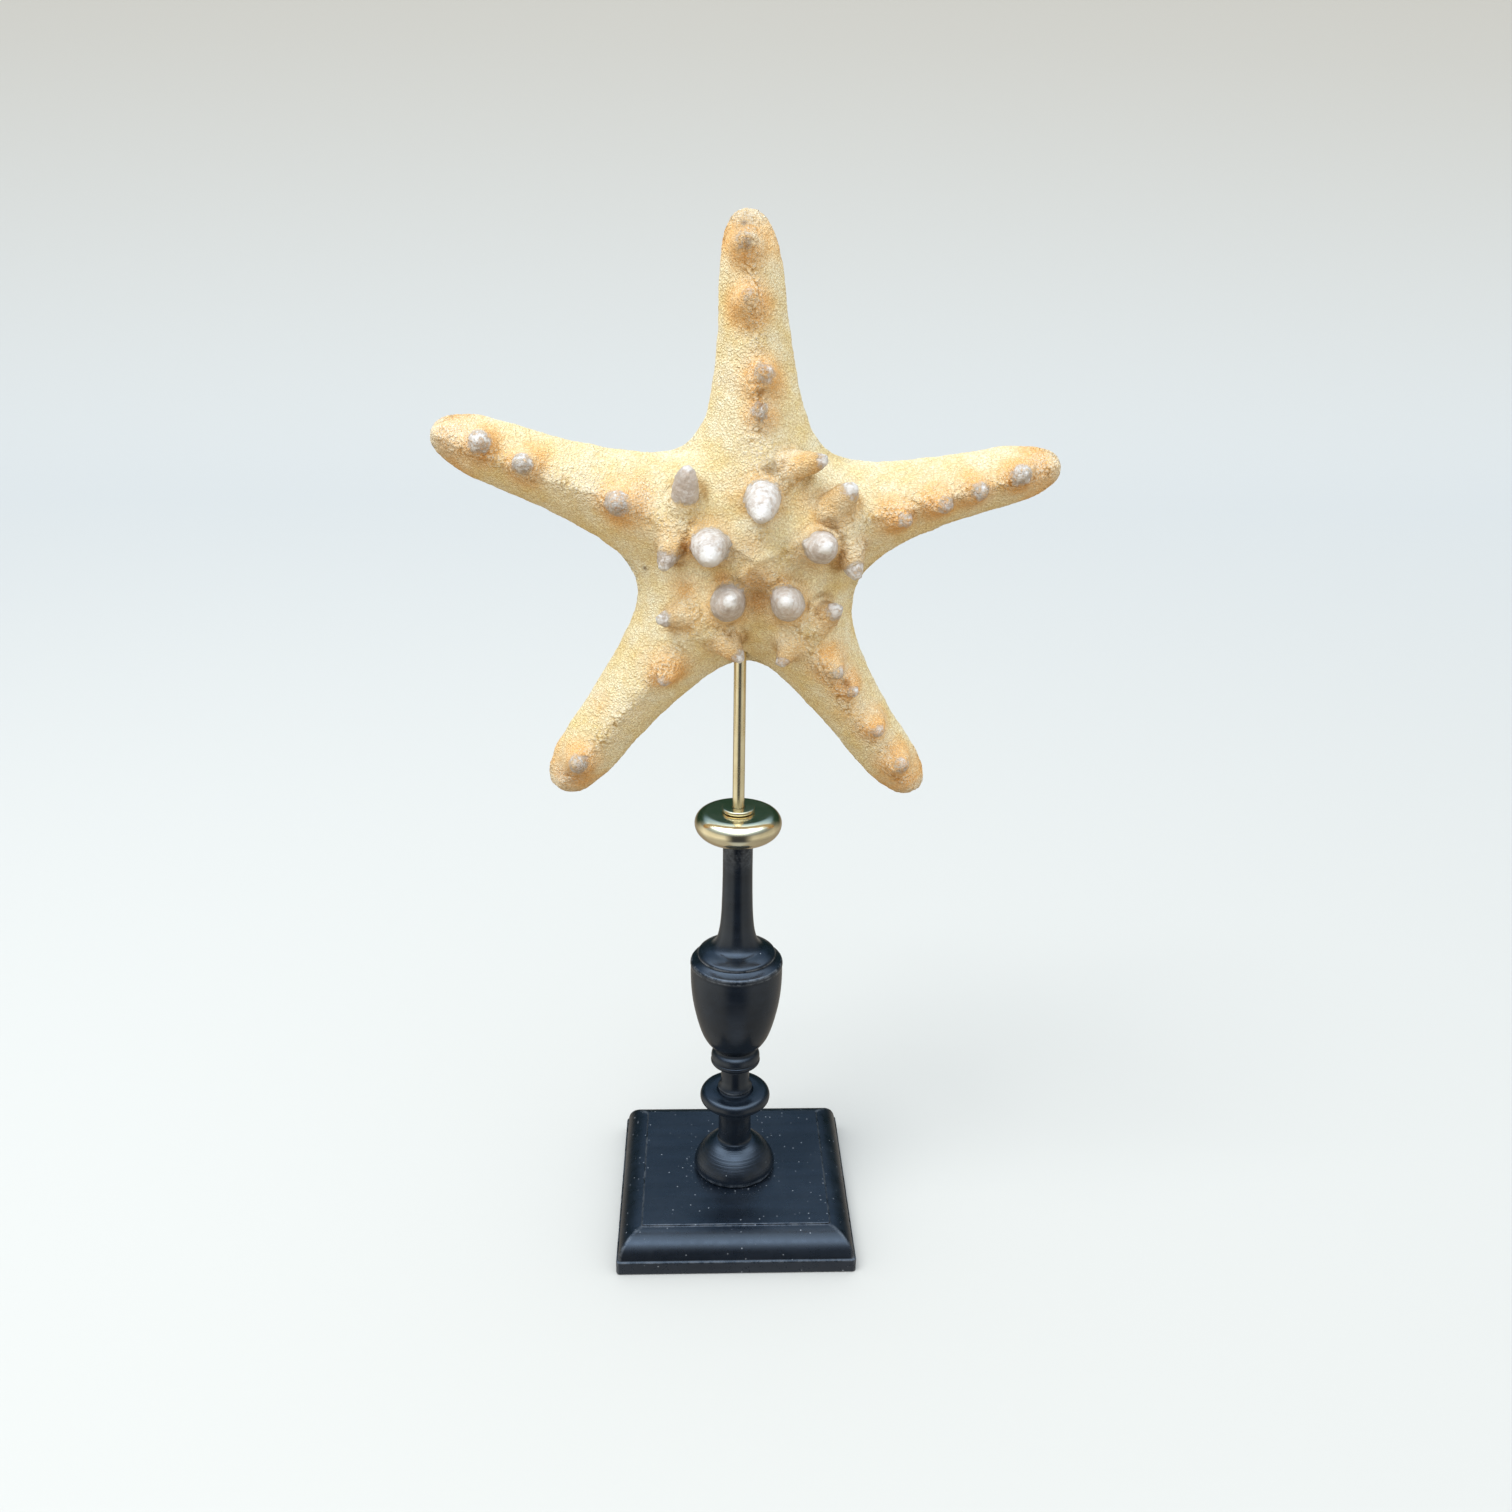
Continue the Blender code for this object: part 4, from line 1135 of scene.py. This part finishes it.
class STARFISH_OT_base(bpy.types.Operator):
    """Build the square moulded base"""

    bl_idname = "starfish.base"
    bl_label = "Base"

    def execute(self, context):
        settings = context.scene.stand_settings
        _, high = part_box("base")
        half, top = BASE_HALF, high[2]
        panel = half - PANEL_INSET
        foot = BASE_BAND + HOLLOW_LIFT
        hollow = arc((panel, foot), (half - BAND_LEDGE - panel, top - PANEL_STEP - foot), 0, 90, HOLLOW_STEPS)
        bm = bmesh.new()
        bmesh.ops.create_grid(bm, x_segments=1, y_segments=1, size=half)
        bmesh.ops.bevel(
            bm, geom=list(bm.verts), offset=CORNER_ROUND, offset_type="OFFSET", affect="VERTICES",
            segments=5, profile=0.5, material=-1, clamp_overlap=True,
        )
        ring = list(bm.faces)
        level, reach = 0.0, half
        for next_reach, next_level in [(half, BASE_BAND)] + hollow + [(panel, top)]:
            made = bmesh.ops.extrude_face_region(bm, geom=ring)
            verts = [item for item in made["geom"] if isinstance(item, bmesh.types.BMVert)]
            bmesh.ops.scale(bm, verts=verts, vec=(next_reach / reach, next_reach / reach, 1.0))
            bmesh.ops.translate(bm, verts=verts, vec=(0.0, 0.0, next_level - level))
            old = ring
            ring = [item for item in made["geom"] if isinstance(item, bmesh.types.BMFace)]
            if level > 0.0:
                bmesh.ops.delete(bm, geom=old, context="FACES_ONLY")
            level, reach = next_level, next_reach
        bmesh.ops.remove_doubles(bm, verts=bm.verts, dist=1e-7)
        bmesh.ops.recalc_face_normals(bm, faces=bm.faces)
        bm.normal_update()
        limit = math.radians(BEVELLED_FROM)
        sharp = [e for e in bm.edges if len(e.link_faces) == 2 and e.calc_face_angle(0.0) > limit]
        level_edges = [e for e in sharp if abs(e.verts[0].co.z - e.verts[1].co.z) < 1e-6]
        bmesh.ops.bevel(
            bm, geom=level_edges, offset=settings.bevel, offset_type="OFFSET", affect="EDGES",
            segments=3, profile=0.5, material=-1, clamp_overlap=True,
        )
        finish = wood_material("black_wood_base", settings, bpy.data.node_groups["dust"], specks=0.16, gloss=0.28)
        piece = add_piece("base_moulding", bm, finish, "base")
        smooth(piece, BASE_CREASE)
        return {"FINISHED"}


class STARFISH_OT_column(bpy.types.Operator):
    """Build the turned column"""

    bl_idname = "starfish.column"
    bl_label = "Column"

    def execute(self, context):
        settings = context.scene.stand_settings
        foot, top, _ = span_of(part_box("column"))
        neck = NECK_OUTLINE[0][0]
        profile = [(0.0, top), (neck - EDGE_BREAK, top), (neck, top - EDGE_BREAK)]
        profile += curve_through(NECK_OUTLINE, 5) + SHOULDER_STEP + URN_LIP
        profile += curve_through(URN_OUTLINE, 4)
        profile += curve_through(SMALL_RING_OUTLINE, 5)
        profile += curve_through(LOWER_NECK_OUTLINE, 5) + NECK_BEAD
        profile += curve_through(LARGE_RING_TOP, 4)[:-1]
        profile += arc(LARGE_RING_MIDDLE, LARGE_RING_RADII, 84, -80, 26)
        profile += curve_through(WAIST_OUTLINE, 7)
        profile += curve_through(BELL_NECK_OUTLINE, 4)
        profile += arc(BELL_MIDDLE, BELL_RADII, 88, 0, 26, BELL_SQUARENESS)
        profile += BELL_RIM + [(BELL_SEAT, foot), (0.0, foot)]
        bm = turned(profile, COLUMN_SIDES)
        dust, lathe = bpy.data.node_groups["dust"], bpy.data.node_groups["lathe_rings"]
        finish = wood_material("black_wood_turned", settings, dust, specks=0.03, gloss=0.20, lathe=lathe)
        piece = add_piece("turned_column", bm, finish, "column")
        smooth(piece, COLUMN_CREASE)
        mark_edges(piece, WORN_TURN)
        return {"FINISHED"}


class STARFISH_OT_brass(bpy.types.Operator):
    """Build the brass collar, washer and rod"""

    bl_idname = "starfish.brass"
    bl_label = "Brass fittings"

    def execute(self, context):
        settings = context.scene.stand_settings
        lathe = bpy.data.node_groups["lathe_rings"]
        polished = brass_material("polished_brass", settings, lathe, gloss=0.13)
        drawn = brass_material("drawn_brass", settings, lathe, gloss=0.2)
        self.collar(polished)
        self.washer(polished)
        self.rod(drawn)
        return {"FINISHED"}

    def finish(self, name, bm, surface, node):
        """Adds one brass piece in place of its CAD node."""
        piece = smooth(add_piece(name, bm, surface, node), BRASS_CREASE)

    def collar(self, surface):
        """A cushion whose flat top rounds smoothly into its shoulder, with a blind bore for the rod."""
        foot, top, radius = span_of(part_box("collar"))
        bore, floor, middle = FITTING_BORE, foot + COLLAR_FLOOR, foot + COLLAR_MIDDLE
        profile = [(bore, floor), (bore, top - EDGE_BREAK), (bore + EDGE_BREAK, top)]
        profile += arc((radius - COLLAR_SHOULDER, middle), (COLLAR_SHOULDER, top - middle), 90, 0, 24)
        profile += arc((radius - COLLAR_UNDERSIDE[0], middle), COLLAR_UNDERSIDE, -6, -90, 26)
        profile += [(COLLAR_SEAT, foot), (0.0, foot), (0.0, floor)]
        self.finish("brass_collar", turned(profile, COLLAR_SIDES), surface, "collar")

    def washer(self, surface):
        """A flat ring with rounded edges."""
        foot, top, radius = span_of(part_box("washer"))
        edge = WASHER_ROUND
        profile = [(FITTING_BORE, foot), (FITTING_BORE, top)]
        profile += arc((radius - edge, top - edge), (edge, edge), 90, 0, 10)
        profile += arc((radius - edge, foot + edge), (edge, edge), 0, -90, 10)
        self.finish("brass_washer", turned(profile, WASHER_SIDES), surface, "washer")

    def rod(self, surface):
        """A straight rod with its top edge broken."""
        foot, top, radius = span_of(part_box("rod"))
        profile = [(0.0, top), (radius - EDGE_BREAK, top), (radius, top - EDGE_BREAK), (radius, foot), (0.0, foot)]
        self.finish("brass_rod", turned(profile, ROD_SIDES), surface, "rod")


class STARFISH_OT_stage(bpy.types.Operator):
    """Set the pale sweep, the soft light, the surroundings and the camera"""

    bl_idname = "starfish.stage"
    bl_label = "Stage"

    def execute(self, context):
        settings = context.scene.stage_settings
        self.sweep(settings)
        self.key_light(settings)
        self.surroundings(context, settings)
        self.camera(context)
        context.scene.view_settings.view_transform = "Standard"
        return {"FINISHED"}

    def sweep(self, settings):
        """A floor that curves up into a wall far behind."""
        bm = bmesh.new()
        outline = [(SWEEP_FRONT, 0.0), (SWEEP_BACK, 0.0)]
        for angle in np.radians(np.linspace(-80, 0, 12)):
            across, rise = SWEEP_CURVE * math.cos(angle), SWEEP_CURVE * math.sin(angle)
            outline.append((SWEEP_BACK + across, SWEEP_CURVE + rise))
        outline.append((SWEEP_BACK + SWEEP_CURVE, SWEEP_TOP))
        points = [bm.verts.new((-SWEEP_WIDTH / 2, y, z)) for y, z in outline]
        edges = [bm.edges.new(pair) for pair in zip(points[:-1], points[1:])]
        made = bmesh.ops.extrude_edge_only(bm, edges=edges)
        verts = [item for item in made["geom"] if isinstance(item, bmesh.types.BMVert)]
        bmesh.ops.translate(bm, verts=verts, vec=(SWEEP_WIDTH, 0.0, 0.0))
        bmesh.ops.translate(bm, verts=bm.verts, vec=(0.0, 0.0, -FLOOR_GAP))
        mesh = mesh_of("sweep", bm)
        mesh.shade_smooth()
        surface, tree, shader = new_material("pale_sweep")
        far = spread(tree, parts_of(tree, place_of(tree))[1], -0.1, SWEEP_BACK)
        darker = tuple(c * f for c, f in zip(settings.floor, (1.02, 1.045, 1.075)))
        set_inputs(tree, shader, {
            "Base Color": mix(tree, far, opaque(settings.floor), opaque(darker)),
            "Roughness": 0.9,
            "Specular IOR Level": 0.1,
        })
        mesh.materials.append(surface)
        floor = add_object("sweep", mesh)
        floor.visible_glossy = False
        floor.visible_diffuse = False

    def key_light(self, settings):
        """One large soft light above, to the left and in front."""
        lamp = bpy.data.lights.new("key", "AREA")
        lamp.shape = "DISK"
        lamp.size = KEY_SIZE
        lamp.energy = settings.key
        lamp.color = KEY_COLOUR
        light = add_object("key", lamp)
        light.location = KEY_PLACE
        aim = Vector(KEY_TARGET) - light.location
        light.rotation_euler = aim.to_track_quat("-Z", "Y").to_euler()
        light.visible_glossy = False

    def surroundings(self, context, settings):
        """Even soft light for matt surfaces, and a bright sky over dark greenery in the reflections."""
        world = bpy.data.worlds.new("surroundings")
        context.scene.world = world
        world.use_nodes = True
        tree = world.node_tree
        tree.nodes.clear()
        direction = add_node(tree, "ShaderNodeTexCoord").outputs["Generated"]
        aside, away, rise = parts_of(tree, direction)
        level = add_node(tree, "ShaderNodeCombineXYZ", {"X": aside, "Y": away}).outputs[0]
        heading = add_node(tree, "ShaderNodeVectorMath", {0: level}, operation="NORMALIZE").outputs[0]
        forward = parts_of(tree, heading)[1]
        near = self.bands(tree, rise, NEAR_SKY)
        sides = self.bands(tree, rise, SIDE_SKY)
        beyond = self.bands(tree, rise, FAR_SKY)
        sides = scaled(tree, sides, plus(tree, times(tree, aside, SIDE_SLANT), 1.0))
        mirrored = mix(tree, spread(tree, forward, *NEAR_TO_SIDES), near, sides)
        mirrored = mix(tree, spread(tree, forward, *SIDES_TO_FAR), mirrored, beyond)
        soft = self.bands(tree, rise, SOFT_SKY)
        tilt = plus(tree, times(tree, aside, SOFT_TILT[0]), times(tree, away, SOFT_TILT[1]))
        soft = scaled(tree, soft, plus(tree, tilt, 1.0))
        path = add_node(tree, "ShaderNodeLightPath").outputs
        colour = mix(tree, path["Is Glossy Ray"], soft, mirrored)
        strength = spread(tree, path["Is Glossy Ray"], 0.0, 1.0, settings.sky, 1.0)
        colour = mix(tree, path["Is Camera Ray"], colour, BACKDROP_COLOUR)
        back = add_node(tree, "ShaderNodeBackground", {"Color": colour, "Strength": strength})
        out = add_node(tree, "ShaderNodeOutputWorld", {"Surface": back.outputs[0]})
        out.is_active_output = True

    def bands(self, tree, rise, stops):
        """Colours by how far up the direction points, from -1 to 1, blended between the stops."""
        ramp = add_node(tree, "ShaderNodeValToRGB", {"Fac": spread(tree, rise, -1.0, 1.0)})
        elements = ramp.color_ramp.elements
        while len(elements) < len(stops):
            elements.new(0.5)
        for element, (height, _) in zip(elements, stops):
            element.position = (height + 1.0) / 2.0
        for element, (_, colour) in zip(elements, stops):
            element.color = opaque(c / RAMP_TOP for c in colour)
        return scaled(tree, ramp.outputs[0], RAMP_TOP)

    def camera(self, context):
        """The photo's viewpoint and lens."""
        pitch, yaw, roll = (math.radians(a) for a in (CAMERA_PITCH, CAMERA_YAW, CAMERA_ROLL))
        ahead = Vector((math.sin(yaw) * math.cos(pitch), math.cos(yaw) * math.cos(pitch), -math.sin(pitch)))
        level = Vector((math.cos(yaw), -math.sin(yaw), 0.0))
        upright = level.cross(ahead)
        across = level * math.cos(roll) + upright * math.sin(roll)
        above = upright * math.cos(roll) - level * math.sin(roll)
        lens = bpy.data.cameras.new("photo_view")
        lens.sensor_width = CAMERA_SENSOR
        lens.lens = CAMERA_LENS
        camera = add_object("photo_view", lens)
        turn = Matrix((across, above, -ahead)).transposed().to_4x4()
        turn.translation = Vector(CAMERA_PLACE)
        camera.matrix_world = turn
        context.scene.camera = camera


class STARFISH_PT_panel(bpy.types.Panel):
    """Lists the steps that build the starfish and its stand"""

    bl_label = "Starfish"
    bl_space_type = "VIEW_3D"
    bl_region_type = "UI"
    bl_category = "Starfish"

    def draw(self, context):
        scene = context.scene
        for settings in (scene.starfish_settings, scene.stand_settings, scene.stage_settings):
            box = self.layout.box()
            for name in settings.__annotations__:
                box.prop(settings, name)
        for step in STEPS:
            self.layout.operator(step.bl_idname)


STEPS = (STARFISH_OT_stage, STARFISH_OT_base, STARFISH_OT_column, STARFISH_OT_brass, STARFISH_OT_skin)
CLASSES = (StarfishSettings, StandSettings, StageSettings, *STEPS, STARFISH_PT_panel)


def register():
    for made in CLASSES:
        bpy.utils.register_class(made)
    bpy.types.Scene.starfish_settings = bpy.props.PointerProperty(type=StarfishSettings)
    bpy.types.Scene.stand_settings = bpy.props.PointerProperty(type=StandSettings)
    bpy.types.Scene.stage_settings = bpy.props.PointerProperty(type=StageSettings)


def unregister():
    del bpy.types.Scene.stage_settings
    del bpy.types.Scene.stand_settings
    del bpy.types.Scene.starfish_settings
    for made in reversed(CLASSES):
        bpy.utils.unregister_class(made)


def main():
    register()
    dust_group()
    lathe_group()
    bpy.ops.starfish.stage()
    bpy.ops.starfish.base()
    bpy.ops.starfish.column()
    bpy.ops.starfish.brass()
    bpy.ops.starfish.skin()


if __name__ == "__main__":
    main()
